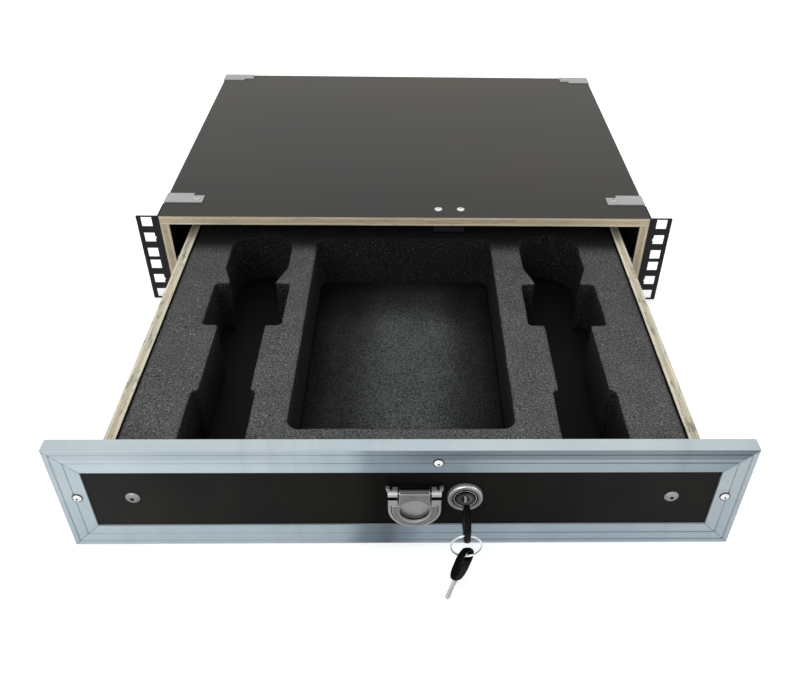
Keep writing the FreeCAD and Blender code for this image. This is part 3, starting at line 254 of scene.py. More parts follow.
def aluminium(name, axis, stops, line, low_stops=None, strip=None):
    """Drawn aluminium with lines along one axis and handling marks; stops paint reflection and shade on its front
    from left to right.

    Low_stops do so on the lower rail, and strip once more along the outer flange of the upper one. Line is the
    tone of painted shade on the grooves' slopes. The rims and the lower half get painted shade, the mitres a
    painted shadow line, and the faces that look up painted light."""
    s = Shader(name, metallic=0.5, roughness=0.42, specular=0.3)
    lines = [1400.0, 1400.0, 1400.0]
    lines[axis] = 6.0
    drawn = s.noise(1.0, 3.0, 0.6, s.stretched(*lines))
    bands = [3.0, 3.0, 3.0]
    bands[axis] = 34.0
    streak = s.noise(1.0, 4.0, 0.55, s.stretched(*bands))
    cloud = s.noise(12.0, 5.0, 0.62)
    base = s.mix(s.ramp(cloud, [(0.3, 0.0), (0.72, 1.0)]), (0.385, 0.458, 0.494), (0.452, 0.512, 0.538))
    base = s.mix(0.5, base, s.ramp(streak, [(0.30, 0.80), (0.46, 1.0), (0.7, 1.06)]), "MULTIPLY")
    base = s.mix(0.35, base, s.ramp(drawn, [(0.3, 0.84), (0.7, 1.1)]), "MULTIPLY")
    across = s.math("ADD", s.axis(s.place, 0), s.math("MULTIPLY", s.math("SUBTRACT", cloud, 0.5), 0.03))
    low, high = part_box("frame_top_rail")
    share = s.math("DIVIDE", s.math("SUBTRACT", across, low.x), high.x - low.x)
    front = s.under(s.facing, 1, -0.7)
    lower_half = s.under(s.place, 2, high.z / 2)
    # painted reflection: the front's tone swept from left to right
    sheen = s.ramp(share, stops, "EASE")
    if low_stops:
        sheen = s.mix(lower_half, sheen, s.ramp(share, low_stops, "EASE"))
    if strip:
        sheen = s.mix(s.over(s.place, 2, high.z - FLANGE_BAND), sheen, s.ramp(share, strip, "EASE"), "MULTIPLY")
    base = s.mix(front, base, sheen, "MULTIPLY")
    reach = high.x if axis == 2 else high.z / 2
    off = s.axis(s.place, 0) if axis == 2 else s.math("SUBTRACT", s.axis(s.place, 2), high.z / 2)
    inland = s.math("LESS_THAN", s.math("ABSOLUTE", off), reach - RIM_BAND)
    # painted shade on the grooves' and the rims' slopes, the lower half and the mitres; painted light on faces
    # that look up
    tilted = s.math("LESS_THAN", s.math("ABSOLUTE", s.axis(s.facing, 1)), 0.93)
    slope = s.both(tilted, s.under(s.facing, 1, -0.2))
    base = s.mix(s.both(inland, slope), base, line, "MULTIPLY")
    base = s.mix(s.both(s.math("SUBTRACT", 1.0, inland), slope), base, RIM_PAINTED_SHADE, "MULTIPLY")
    base = s.mix(s.both(front, lower_half), base, LOWER_PAINTED_SHADE, "MULTIPLY")
    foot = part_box("frame_bottom_rail")[0].z
    from_end = s.math("SUBTRACT", high.x, s.math("ABSOLUTE", s.axis(s.place, 0)))
    from_edge = s.math("MINIMUM", s.math("SUBTRACT", s.axis(s.place, 2), foot),
                       s.math("SUBTRACT", high.z, s.axis(s.place, 2)))
    mitre = s.math("LESS_THAN", s.math("ABSOLUTE", s.math("SUBTRACT", from_end, from_edge)), MITRE_HALF)
    base = s.mix(s.both(mitre, front), base, MITRE_PAINTED_SHADOW, "MULTIPLY")
    base = s.mix(s.over(s.facing, 2, 0.95), base, UPWARD_PAINTED_LIGHT, "MULTIPLY")
    scratch = s.ramp(s.noise(1.0, 5.0, 0.8, s.stretched(260.0, 40.0, 190.0)), [(0.69, 0.0), (0.75, 0.55)])
    s.colour(s.mix(scratch, base, (0.72, 0.79, 0.82)))
    s.rough(s.ramp(cloud, [(0.3, 0.48), (0.7, 0.36)]))
    s.bump(drawn, 0.00005, 0.6)
    return s.mat


# colours of painted shade in recesses, holes and gaps, and of a painted highlight on a bore's lip
PAINTED_SHADE = (0.012, 0.012, 0.012)
DEEP_PAINTED_SHADE = (0.010, 0.010, 0.010)
BORE_LIP_PAINTED_HIGHLIGHT = (0.66, 0.66, 0.65)
RINGS_REACH = 10.0          # the radius in mm that the whole ramp of rings spans


def metal(name, tone, rough, grain=900.0, wear=0.25, low=1.0, high=1.0, metallic=1.0,
          recess=None, channel=None, bore=None, line=None, rings=None):
    """Plated or bare metal with fine grain and smudges.

    Low and high scale the tone of the faces that look down and up: painted shade below and painted light above.
    The rest paints shade that the photo shows and that the light here doesn't cast.
    Recess, as two places in Y and two heights: black behind the first place between the heights, and behind the
    second place everywhere above the lower height.
    Channel, as a middle and two distances: black behind the middle, between the distances sideways and down.
    Bore, as a middle and a radius round the line along Y: black behind the middle and a painted highlight before
    it.
    Line, as two heights: a dark band between them.
    Rings, as a middle and (radius in mm, tone) pairs: tones from each radius outwards, painted shade and
    highlight."""
    s = Shader(name, metallic=metallic, roughness=rough)
    smudge = s.noise(60.0, 4.0, 0.65)
    fine = s.noise(grain, 3.0, 0.6)
    base = s.mix(s.ramp(smudge, [(0.3, 0.0), (0.75, 1.0)]), tuple(c * (1 - wear) for c in tone), tone)
    base = s.mix(0.25, base, s.ramp(fine, [(0.3, 0.75), (0.7, 1.1)]), "MULTIPLY")
    # painted light on faces that look up, painted shade on those that look down
    if low != high:
        share = s.math("MULTIPLY", s.math("ADD", s.axis(s.facing, 2), 1.0), 0.5)
        top = max(low, 1.0, high)
        tilt = s.ramp(share, [(0.0, low / top), (0.45, 1.0 / top), (0.55, 1.0 / top), (0.9, high / top)])
        base = s.mix(1.0, s.mix(1.0, base, (top, top, top), "MULTIPLY"), tilt, "MULTIPLY")
    # painted shade in the recess, the channel and the line; a painted highlight on the bore's lip; painted shade
    # and highlight in the rings
    if recess:
        near, plate, low_z, high_z = recess
        gap = s.both(s.under(s.place, 2, high_z), s.over(s.place, 1, near))
        gap = s.math("MAXIMUM", gap, s.over(s.place, 1, plate))
        base = s.mix(s.both(s.over(s.place, 2, low_z), gap), base, PAINTED_SHADE)
    if channel:
        middle, inner, outer = channel
        drop = s.math("MINIMUM", s.math("SUBTRACT", s.axis(s.place, 2), middle.z), 0.0)
        spread = s.node("ShaderNodeCombineXYZ", X=s.math("SUBTRACT", s.axis(s.place, 0), middle.x), Y=drop)
        length = s.node("ShaderNodeVectorMath", Vector=spread.outputs[0])
        length.operation = "LENGTH"
        reach = length.outputs["Value"]
        within = s.both(s.math("GREATER_THAN", reach, inner), s.math("LESS_THAN", reach, outer))
        base = s.mix(s.both(within, s.over(s.place, 1, middle.y)), base, DEEP_PAINTED_SHADE)
    if bore:
        middle, radius = bore
        wall = s.math("LESS_THAN", s.from_line(middle), radius)
        base = s.mix(wall, base, s.mix(s.over(s.place, 1, middle.y), BORE_LIP_PAINTED_HIGHLIGHT, DEEP_PAINTED_SHADE))
    if line:
        base = s.mix(s.both(s.over(s.place, 2, line[0]), s.under(s.place, 2, line[1])), base, PAINTED_SHADE)
    if rings:
        middle, tones = rings
        out = s.math("DIVIDE", s.from_line(middle), RINGS_REACH * MM)
        stops = [(radius / RINGS_REACH, value) for radius, value in tones]
        base = s.mix(1.0, base, s.ramp(out, stops, "CONSTANT"), "MULTIPLY")
    s.colour(base)
    s.rough(s.ramp(smudge, [(0.3, min(1.0, rough + 0.12)), (0.7, rough)]))
    s.bump(fine, 0.00004, 0.5)
    return s.mat


def coating(name, tone, rough, peel=350.0, depth=0.00008, gloss=0.15):
    """Powder coat or moulded plastic: a fine orange peel with dust and rubbed spots."""
    s = Shader(name, roughness=rough, specular=gloss)
    peeled = s.noise(peel, 3.0, 0.55)
    dust = s.ramp(s.noise(1300.0, 2.0, 0.7), [(0.66, 0.0), (0.74, 0.4)])
    rub = s.ramp(s.noise(40.0, 4.0, 0.6), [(0.35, 0.85), (0.7, 1.25)])
    s.colour(s.mix(dust, s.mix(1.0, tone, rub, "MULTIPLY"), tuple(c + 0.03 for c in tone)))
    s.rough(s.ramp(peeled, [(0.3, rough - 0.07), (0.7, rough + 0.1)]))
    s.bump(peeled, depth, 0.7)
    return s.mat


def open_foam(name, tone):
    """Speckled closed-cell foam; returns the shader and its colour, for the shade to be added."""
    s = Shader(name, roughness=0.97, specular=0.12)
    cell = s.cells(900.0)
    speck = s.noise(760.0, 3.0, 0.8)
    patch = s.noise(30.0, 5.0, 0.65)
    dim, lit, white = (tuple(c * times for c in tone) for times in (0.32, 1.72, 3.0))
    base = s.mix(s.ramp(speck, [(0.40, 0.0), (0.60, 1.0)]), dim, lit)
    base = s.mix(s.ramp(s.noise(620.0, 1.0, 0.5), [(0.64, 0.0), (0.70, 0.6)]), base, white)
    s.bump(s.mix(0.5, cell, speck), 0.0006, 0.9)
    return s, s.mix(0.7, base, s.ramp(patch, [(0.35, 0.82), (0.65, 1.15)]), "MULTIPLY")


def cut_foam(name, tone, node):
    """Foam insert: painted shade darkens its cut walls to black, save a few pale cells, and its back, inside the
    case, likewise.
    """
    s, base = open_foam(name, tone)
    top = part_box(node)[1].z
    # painted shade: darker down the cut walls, at the back inside the case, and a little towards the back all
    # along
    down = s.math("DIVIDE", s.math("SUBTRACT", top, s.axis(s.place, 2)), 0.020, clamp=True)
    shade = s.ramp(down, [(0.045, 1.0), (0.085, 0.22), (0.6, 0.16), (1.0, 0.10)])
    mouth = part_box("case_top_panel")[0].y
    ragged = s.math("MULTIPLY", s.math("SUBTRACT", s.noise(60.0, 3.0, 0.6), 0.5), 0.012)
    behind = s.math("SUBTRACT", s.math("ADD", s.axis(s.place, 1), ragged), mouth - 0.026)
    back = s.math("DIVIDE", behind, 0.025, clamp=True)
    shade = s.mix(1.0, shade, s.ramp(back, [(0.0, 1.0), (1.0, 0.14)], "EASE"), "MULTIPLY")
    shade = s.mix(1.0, shade, (0.14, 0.14, 0.14), "LIGHTEN")
    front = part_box(node)[0].y
    length = s.math("DIVIDE", s.math("SUBTRACT", s.axis(s.place, 1), front), mouth - front, clamp=True)
    shade = s.mix(1.0, shade, s.ramp(length, [(0.1, 0.98), (0.8, 0.80)]), "MULTIPLY")
    shaded = s.mix(1.0, base, shade, "MULTIPLY")
    pale = s.ramp(s.noise(560.0, 2.0, 0.6), [(0.61, 0.0), (0.66, 1.0)])
    wall = s.ramp(down, [(0.08, 0.0), (0.12, 0.9), (1.0, 0.55)])
    s.colour(s.mix(s.math("MULTIPLY", pale, wall), shaded, tuple(c * 0.95 for c in tone)))
    return s.mat


def pad_foam(name, tone, node):
    """Pad on the pocket's floor: darker towards the pocket's sides and back, where light is short."""
    s, base = open_foam(name, tone)
    low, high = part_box(node)
    wobble = s.math("MULTIPLY", s.math("SUBTRACT", s.noise(14.0, 3.0, 0.6), 0.5), 0.03)
    x, y = s.axis(s.place, 0), s.axis(s.place, 1)
    gaps = (s.math("SUBTRACT", x, low.x), s.math("SUBTRACT", high.x, x), s.math("SUBTRACT", high.y, y))
    shade = (1.0, 1.0, 1.0)
    for gap, reach in zip(gaps, (0.074, 0.060, 0.086)):
        share = s.math("DIVIDE", s.math("ADD", gap, wobble), reach, clamp=True)
        shade = s.mix(1.0, shade, s.ramp(share, [(0.0, 0.12), (0.35, 0.30), (1.0, 1.0)], "EASE"), "MULTIPLY")
    s.colour(s.mix(1.0, base, shade, "MULTIPLY"))
    return s.mat


# ---- materials --------------------------------------------------------------------------------
# the inside's black film, darker than the outside's as painted shade
INSIDE_FILM_PAINTED_SHADE = (0.0065, 0.0062, 0.0062)
CASE_FILM = (0.0206, 0.0206, 0.0197)
# the case's film made twice as light on the top panel: painted light
TOP_FILM_PAINTED_LIGHT = tuple(2 * c for c in CASE_FILM)
DRAWER_FILM = (0.012, 0.012, 0.0125)
CASE_EDGE = (0.61, 0.54, 0.425)
WALL_EDGE = (0.575, 0.555, 0.465)
SIDE_EDGE = (0.53, 0.47, 0.37)
PANEL_FILM = (0.021, 0.021, 0.0212)
# painted reflection across the front panel's film, and painted sheen on the top panel, lighter towards the back
PANEL_SHEEN = [(0.05, 0.97), (0.19, 0.68), (0.345, 0.48), (0.42, 0.38), (0.468, 0.14), (0.652, 0.30),
               (0.729, 0.40), (0.805, 0.54), (0.867, 0.64), (1.0, 0.62)]
TOP_PAINTED_SHEEN = [(0.0, (0.50, 0.505, 0.52)), (0.5, (0.74, 0.73, 0.72)), (1.0, (1.0, 0.975, 0.93))]


def boxed_ply(node, axis, film, edge, rough=0.45, gloss=0.3, inner=0, sweep=None):
    low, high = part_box(node)
    fleck = WALL_FLECK if edge == WALL_EDGE else FLECK
    return plywood("ply_" + node, axis, low[axis], high[axis], film, edge, rough, gloss, inner, fleck, sweep)


def cooled(stops):
    """Greys turned bluer the darker they are, as brushed metal is where it mirrors a dark room."""
    return [(place, (v * (1 - 0.12 * (1 - v)), v, v * (1 + 0.16 * (1 - v)))) for place, v in stops]


# painted reflections across the frame's front, from left to right; ALU_Z's stops do the same on the side rails
TOP_RAIL_PAINTED_REFLECTION = cooled([(0.0, 1.0), (0.28, 0.93), (0.40, 0.84), (0.455, 0.50), (0.53, 0.44), (0.60, 0.54),
                   (0.74, 0.65), (0.86, 0.64), (1.0, 0.50)])
LOW_RAIL_PAINTED_REFLECTION = cooled([(0.0, 1.0), (0.28, 0.91), (0.40, 0.80), (0.452, 0.34), (0.476, 0.27), (0.50, 0.44),
                   (0.53, 0.68), (0.60, 0.72), (0.74, 0.74), (0.86, 0.78), (1.0, 0.84)])
OUTER_FLANGE_PAINTED_REFLECTION = [(0.0, 0.90), (0.25, 0.85), (0.40, 1.0), (0.46, 0.95), (0.53, 0.74), (0.60, 0.58), (0.85, 0.64),
                (1.0, 0.62)]
# the grooves' tone given to each aluminium is painted shade
ALU_X = aluminium("aluminium_x", 0, TOP_RAIL_PAINTED_REFLECTION, (0.54, 0.57, 0.59), LOW_RAIL_PAINTED_REFLECTION, OUTER_FLANGE_PAINTED_REFLECTION)
ALU_Z = aluminium("aluminium_z", 2, [(0.0, 0.93), (0.5, 0.95), (0.9, 0.79), (1.0, 0.79)],
                  (0.84, 0.86, 0.87))
ZINC = metal("zinc_plate", (0.43, 0.43, 0.425), 0.5, 500.0, 0.10, metallic=0.4)
# places on the handle and the lock where shade is painted
PIN = (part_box("handle_pin")[0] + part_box("handle_pin")[1]) / 2
FLAP_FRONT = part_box("handle_base")[0].y + 2.0 * MM
SHOULDER_TOP = PIN.z - 5.8 * MM
BASE_RECESS = (FLAP_FRONT + 0.6 * MM, FLAP_FRONT + 3.7 * MM, SHOULDER_TOP - 0.25 * MM, SHOULDER_TOP + 4.2 * MM)
FOOT = Vector((PIN.x, FLAP_FRONT + 0.9 * MM, PIN.z - 14.8 * MM))
FINGER = Vector((PIN.x, FLAP_FRONT + 1.7 * MM, PIN.z - 16.6 * MM))
NECK_LINE = (PIN.z + 1.7 * MM, PIN.z + 2.2 * MM)
# low and high in the metals below paint shade on faces that look down and light on faces that look up
NICKEL_BASE = metal("nickel_base", (0.28, 0.28, 0.275), 0.34, 700.0, 0.12, low=0.35, high=1.6, metallic=0.8,
                    recess=BASE_RECESS, channel=(FOOT, 14.2 * MM, 16.0 * MM))
NICKEL_FLAP = metal("nickel_flap", (0.172, 0.172, 0.168), 0.32, 700.0, 0.28, low=0.35, high=1.6, metallic=0.8,
                    bore=(FINGER, 10.3 * MM), line=NECK_LINE)
# brighter nickel for the handle's bevel faces: a painted highlight
NICKEL_EDGE_HIGHLIGHT = metal("nickel_edge_highlight", (0.50, 0.50, 0.49), 0.24, 700.0, 0.25, low=0.35, high=1.7, metallic=0.6)
NICKEL_DARK = metal("nickel_shaded", (0.05, 0.05, 0.05), 0.30, 700.0, 0.35, low=0.5, high=5.0)
LOCK = (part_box("lock_plug")[0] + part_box("lock_plug")[1]) / 2
# the rings on the plug and the bezel paint dark grooves and bright bands: painted shade and highlight
PLUG_NICKEL = metal("plug_nickel", (0.32, 0.32, 0.315), 0.28, 700.0, 0.35, low=0.5, high=2.0, metallic=0.8,
                    rings=(LOCK, [(0.0, 0.15), (3.2, 0.40), (4.6, 0.14), (5.9, 0.03)]))
RING_NICKEL = metal("nickel_ring", (0.30, 0.30, 0.295), 0.26, 700.0, 0.25, low=0.30, high=2.2, metallic=0.8,
                    rings=(LOCK, [(0.0, 1.4), (8.2, 0.55), (9.0, 0.85), (9.8, 1.0)]))
BRIGHT = metal("bright_rivet", (0.80, 0.81, 0.82), 0.34, metallic=0.35, wear=0.12)
BRACKET_RIVET = metal("bracket_rivet", (0.56, 0.56, 0.555), 0.3, metallic=0.5, wear=0.2)
BOLT_ZINC = metal("bolt_zinc", (0.25, 0.25, 0.246), 0.36, 600.0, 0.30, low=0.5, high=1.5, metallic=0.7)
STEEL = metal("slide_steel", (0.46, 0.47, 0.48), 0.36)
DARK_STEEL = metal("dark_steel", (0.05, 0.05, 0.052), 0.5)
SILVER = metal("key_steel", (0.80, 0.81, 0.82), 0.24, low=0.40, high=1.15)
BLADE_STEEL = metal("blade_steel", (0.46, 0.46, 0.465), 0.34, 700.0, 0.35, metallic=0.7)
# near-black for holes, gaps and grooves: painted shade
HOLE_PAINTED_SHADE = coating("hole_shade", (0.006, 0.006, 0.006), 0.7, 500.0, 0.00003, 0.05)
EAR_BLACK = coating("ear_powder_coat", (0.0085, 0.0085, 0.009), 0.5)
BOW_BLACK = coating("key_plastic", (0.0028, 0.0028, 0.003), 0.42, 600.0, 0.00003, 0.05)
SPARE_BLACK = coating("spare_plastic", (0.0028, 0.0028, 0.003), 0.5, 600.0, 0.00003, 0.01)
FOAM = cut_foam("foam_cells", (0.074, 0.074, 0.0735), "foam_insert")
PAD = pad_foam("pad_cells", (0.053, 0.057, 0.055), "pocket_pad")

MATERIAL = {
    "case_top_panel": boxed_ply("case_top_panel", 2, TOP_FILM_PAINTED_LIGHT, CASE_EDGE, inner=-1, sweep=(1, TOP_PAINTED_SHEEN)),
    "case_bottom_panel": boxed_ply("case_bottom_panel", 2, CASE_FILM, CASE_EDGE, inner=1),
    "case_back_panel": boxed_ply("case_back_panel", 1, CASE_FILM, CASE_EDGE, inner=-1),
    "case_left_side": boxed_ply("case_left_side", 0, CASE_FILM, SIDE_EDGE, inner=1),
    "case_right_side": boxed_ply("case_right_side", 0, CASE_FILM, SIDE_EDGE, inner=-1),
    "drawer_left_side": boxed_ply("drawer_left_side", 0, DRAWER_FILM, WALL_EDGE, inner=1),
    "drawer_right_side": boxed_ply("drawer_right_side", 0, DRAWER_FILM, WALL_EDGE, inner=-1),
    "drawer_front_board": boxed_ply("drawer_front_board", 1, DRAWER_FILM, WALL_EDGE, inner=1),
    "drawer_back": boxed_ply("drawer_back", 1, DRAWER_FILM, WALL_EDGE, inner=-1),
    "drawer_floor": boxed_ply("drawer_floor", 2, INSIDE_FILM_PAINTED_SHADE, WALL_EDGE, 0.5, 0.08, inner=1),
    "front_panel": boxed_ply("front_panel", 1, PANEL_FILM, CASE_EDGE, 0.42, 0.018, sweep=(0, PANEL_SHEEN)),
    "corner_brackets": ZINC,
    "lock_keeper": DARK_STEEL,
    "rack_ear_left": EAR_BLACK,
    "rack_ear_right": EAR_BLACK,
    "frame_top_rail": ALU_X,
    "frame_bottom_rail": ALU_X,
    "frame_left_rail": ALU_Z,
    "frame_right_rail": ALU_Z,
    "lock_plug": PLUG_NICKEL,
    "lock_cam": ZINC,
    "cam_nut": ZINC,
    "lock_nut": ZINC,
    "lock_body": RING_NICKEL,
    "handle_base": NICKEL_BASE,
    "handle_flap": NICKEL_FLAP,
    "handle_pin": NICKEL_DARK,
    "key_ring": SILVER,
    "key_blade": NICKEL_DARK,
    "spare_key_blade": BLADE_STEEL,
    "key_bow": BOW_BLACK,
    "spare_key_bow": SPARE_BLACK,
    "ear_screws": DARK_STEEL,
    "bracket_rivets": BRACKET_RIVET,
    "keeper_rivets": BRIGHT,
    "frame_rivets": BRIGHT,
    "panel_bolts": BOLT_ZINC,
    "foam_insert": FOAM,
    "pocket_pad": PAD,
}


def dress(thing, *materials):
    """Give the materials in order; clearing an empty list would undo the faces' material numbers."""
    if thing.data.materials:
        thing.data.materials.clear()
    for material in materials:
        thing.data.materials.append(material)


for name, thing in NODES.items():
    dress(thing, MATERIAL.get(name, STEEL))


# ---- mesh helpers -----------------------------------------------------------------------------
def piece(name, bm, node, *materials, sharp=35.0):
    """Turn a bmesh into a shown piece that stands for a CAD node and rides with its body."""
    mesh = bpy.data.meshes.new(name)
    bm.to_mesh(mesh)
    bm.free()
    mesh.polygons.foreach_set("use_smooth", [True] * len(mesh.polygons))
    mesh.set_sharp_from_angle(angle=math.radians(sharp))
    thing = bpy.data.objects.new(name, mesh)
    bpy.context.scene.collection.objects.link(thing)
    dress(thing, *materials)
    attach(thing, BODY[node])
    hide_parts(node)
    return thing


def copied(node):
    """The CAD node's mesh as a bmesh of whole flat faces."""
    bm = bmesh.new()
    bm.from_mesh(NODES[node].data)
    bmesh.ops.remove_doubles(bm, verts=bm.verts, dist=0.02 * MM)
    bmesh.ops.dissolve_limit(bm, angle_limit=math.radians(1.0), verts=bm.verts, edges=bm.edges)
    return bm


BREAK_SEGMENTS = 2
BREAK_ANGLE = 28.0          # the least turn in degrees of an edge that is broken


def softened(node, width, edge_material=None, move=None):
    """The CAD node with its sharp edges broken, in a material of their own where one is given."""
    bm = copied(node)
    if move:
        for vert in bm.verts:
            vert.co = move(vert.co)
    edges = [e for e in bm.edges if len(e.link_faces) == 2 and e.calc_face_angle(0) > math.radians(BREAK_ANGLE)]
    bmesh.ops.bevel(bm, geom=edges, offset=width * MM, segments=BREAK_SEGMENTS, profile=0.6, affect="EDGES",
                    clamp_overlap=True, material=1 if edge_material else -1)
    materials = [MATERIAL[node]] + ([edge_material] if edge_material else [])
    return piece(node + "_soft", bm, node, *materials, sharp=20.0)


def islands(node):
    """The low and high corners of each separate solid of a CAD node."""
    bm = copied(node)
    left = set(bm.verts)
    found = []
    while left:
        reach = [left.pop()]
        members = []
        while reach:
            vert = reach.pop()
            members.append(vert.co.copy())
            for edge in vert.link_edges:
                other = edge.other_vert(vert)
                if other in left:
                    left.remove(other)
                    reach.append(other)
        found.append((Vector(map(min, *members)), Vector(map(max, *members))))
    bm.free()
    return sorted(found, key=lambda box: tuple(box[0]))


def turned(bm, profile, seat, axis, segments=32, dark=()):
    """Add a turned shape: profile is (radius, height) in mm from the outside in, along the axis.

    The bands whose numbers are in dark take the second material."""
    turn = Z.rotation_difference(axis).to_matrix()
    rings = []
    for radius, height in profile:
        ring = []
        for i in range(segments):
            angle = 2 * math.pi * i / segments
            local = Vector((radius * math.cos(angle), radius * math.sin(angle), height)) * MM
            ring.append(bm.verts.new(seat + turn @ local))
            if not radius:
                break
        rings.append(ring)
    for k, (outer, inner) in enumerate(zip(rings, rings[1:])):
        for i in range(segments):
            j = (i + 1) % segments
            corners = [outer[i % len(outer)], outer[j % len(outer)],
                       inner[j % len(inner)], inner[i % len(inner)]]
            corners = list(dict.fromkeys(corners))
            face = bm.faces.new(corners)
            if k in dark:
                face.material_index = 1


def arc(radius, height, start, end, steps):
    """Points of a dome's outline between two shares of its radius."""
    points = []
    for i in range(steps + 1):
        share = start + (end - start) * i / steps
        points.append((radius * share, height * math.sqrt(max(0.0, 1 - share * share))))
    return points


def fastener_seat(low, high, head, axis=None):
    """Seat point and outward axis of a fastener from its box and its head's height in mm."""
    size = high - low
    middle = (low + high) / 2
    if axis is None:
        index = max(range(3), key=lambda i: size[i])
        axis = Vector([0, 0, 0])
        axis[index] = 1 if index == 2 else math.copysign(1, middle[index])
    index = max(range(3), key=lambda i: abs(axis[i]))
    seat = middle.copy()
    seat[index] = high[index] if axis[index] > 0 else low[index]
    return seat - axis * head * MM, axis


def fasteners(node, profile, head, *materials, axis=None, dark=(), shank=None):
    bm = bmesh.new()
    for low, high in islands(node):
        seat, way = fastener_seat(low, high, head, axis)
        turned(bm, profile, seat, way, dark=dark)
        if shank:
            turned(bm, [(0, -shank[1]), (shank[0], -shank[1]), (shank[0], 0.02)], seat, way, 20)
    bmesh.ops.recalc_face_normals(bm, faces=bm.faces)
    return piece(node + "_turned", bm, node, *materials, sharp=50.0)


def head_profile(radius, height, skirt, hole, depth, lip=0.0, steps=6):
    """Domed head on a skirt, with a hole in its crown, both dark as painted shade: outline and the numbers of its
    dark bands.
    """
    crown, brim = 0.34, 0.97
    sunk = math.sqrt(1 - brim ** 2)
    rise = (height - skirt) / (math.sqrt(1 - crown ** 2) - sunk)
    dome = [(r, skirt + h - rise * sunk) for r, h in arc(radius - lip, rise, brim, crown, steps)]
    top = dome[-1][1]
    outline = [(0, 0), (radius, 0), (radius, skirt)] + dome + [(hole + 0.15, top), (hole, top - 0.2)]
    outline += [(hole - 0.05, top - depth), (0, top - depth)]
    bands = len(outline) - 1
    return outline, (0, 1, 2, bands - 3, bands - 2, bands - 1)


# ---- fasteners --------------------------------------------------------------------------------
RIVET_HEAD, RIVET_RISE = 3.4, 1.5
BOLT_HEAD, BOLT_RISE = 4.8, 1.7
SCREW_HEAD, SCREW_RISE = 3.4, 1.9
RIVET, RIVET_DARK = head_profile(RIVET_HEAD, RIVET_RISE, 0.5, 0.62, 0.9, 0.4)
BOLT, BOLT_DARK = head_profile(BOLT_HEAD, BOLT_RISE, 0.3, 1.2, 0.7)
PAN, PAN_DARK = head_profile(SCREW_HEAD, SCREW_RISE, 0.4, 0.9, 0.8)
HOLE_ONLY = RIVET_DARK[3:]
# radius and length of each shank in mm
RIVET_SHANK, KEEPER_SHANK, BOLT_SHANK, SCREW_SHANK = (2.0, 7.0), (2.0, 11.4), (3.0, 17.0), (1.75, 8.0)
# the dark bands are painted shade: each head's hole, and the skirt under the frame rivets, bolts and screws
fasteners("bracket_rivets", RIVET, RIVET_RISE, BRACKET_RIVET, HOLE_PAINTED_SHADE, dark=HOLE_ONLY, shank=RIVET_SHANK)
fasteners("keeper_rivets", RIVET, RIVET_RISE, BRIGHT, HOLE_PAINTED_SHADE, axis=Z, dark=HOLE_ONLY, shank=KEEPER_SHANK)
fasteners("frame_rivets", RIVET, RIVET_RISE, BRIGHT, HOLE_PAINTED_SHADE, axis=-Y, dark=RIVET_DARK, shank=RIVET_SHANK)
fasteners("panel_bolts", BOLT, BOLT_RISE, BOLT_ZINC, DARK_STEEL, axis=-Y, dark=BOLT_DARK, shank=BOLT_SHANK)
fasteners("ear_screws", PAN, SCREW_RISE, DARK_STEEL, DARK_STEEL, dark=PAN_DARK, shank=SCREW_SHANK)


# ---- edges broken on the rigid pieces -----------------------------------------------------------
for name, width in (("case_top_panel", 0.3), ("case_left_side", 0.25), ("case_right_side", 0.25),
                    ("case_bottom_panel", 0.3), ("drawer_left_side", 0.3), ("drawer_right_side", 0.3),
                    ("rack_ear_left", 0.25), ("rack_ear_right", 0.25), ("corner_brackets", 0.15),
                    ("lock_keeper", 0.2), ("lock_cam", 0.2), ("frame_top_rail", 0.2),
                    ("frame_bottom_rail", 0.2), ("frame_left_rail", 0.2), ("frame_right_rail", 0.2)):
    softened(name, width)


KNUCKLE_SHARE = 0.45        # of its depth under the pin that each knuckle keeps
NECK_SIDES = (10.3 * MM, 10.7 * MM)     # the neck's sides lie this far off the pin's middle
NECK_FOOT = 5.0 * MM        # under the shoulders' top
NECK_INSET = 0.8 * MM
EDGE_START = 14.5 * MM
EDGE_INSET = 0.35 * MM


def short_ears(place):
    """The handle's knuckles end nearer the pin, so that a dark gap shows over the shoulders."""
    if SHOULDER_TOP + 0.5 * MM < place.z < PIN.z:
        return Vector((place.x, place.y, PIN.z - (PIN.z - place.z) * KNUCKLE_SHARE))
    return place


def slim_flap(place):
    """The flap's neck and edge are drawn in, so that the gaps to the knuckles and the rim show."""
    off = place.x - PIN.x
    if place.z > SHOULDER_TOP - NECK_FOOT:
        if NECK_SIDES[0] < abs(off) < NECK_SIDES[1]:
            return Vector((place.x - math.copysign(NECK_INSET, off), place.y, place.z))
        return place
    drop = min(place.z - FOOT.z, 0.0)
    reach = math.hypot(off, drop)
    if reach < EDGE_START:
        return place
    share = (reach - EDGE_INSET) / reach
    return Vector((PIN.x + off * share, place.y, place.z - drop * (1 - share)))


# the broken edges of the handle take the brighter nickel: painted highlight
softened("handle_base", 0.38, edge_material=NICKEL_EDGE_HIGHLIGHT, move=short_ears)
softened("handle_flap", 0.45, edge_material=NICKEL_EDGE_HIGHLIGHT, move=slim_flap)


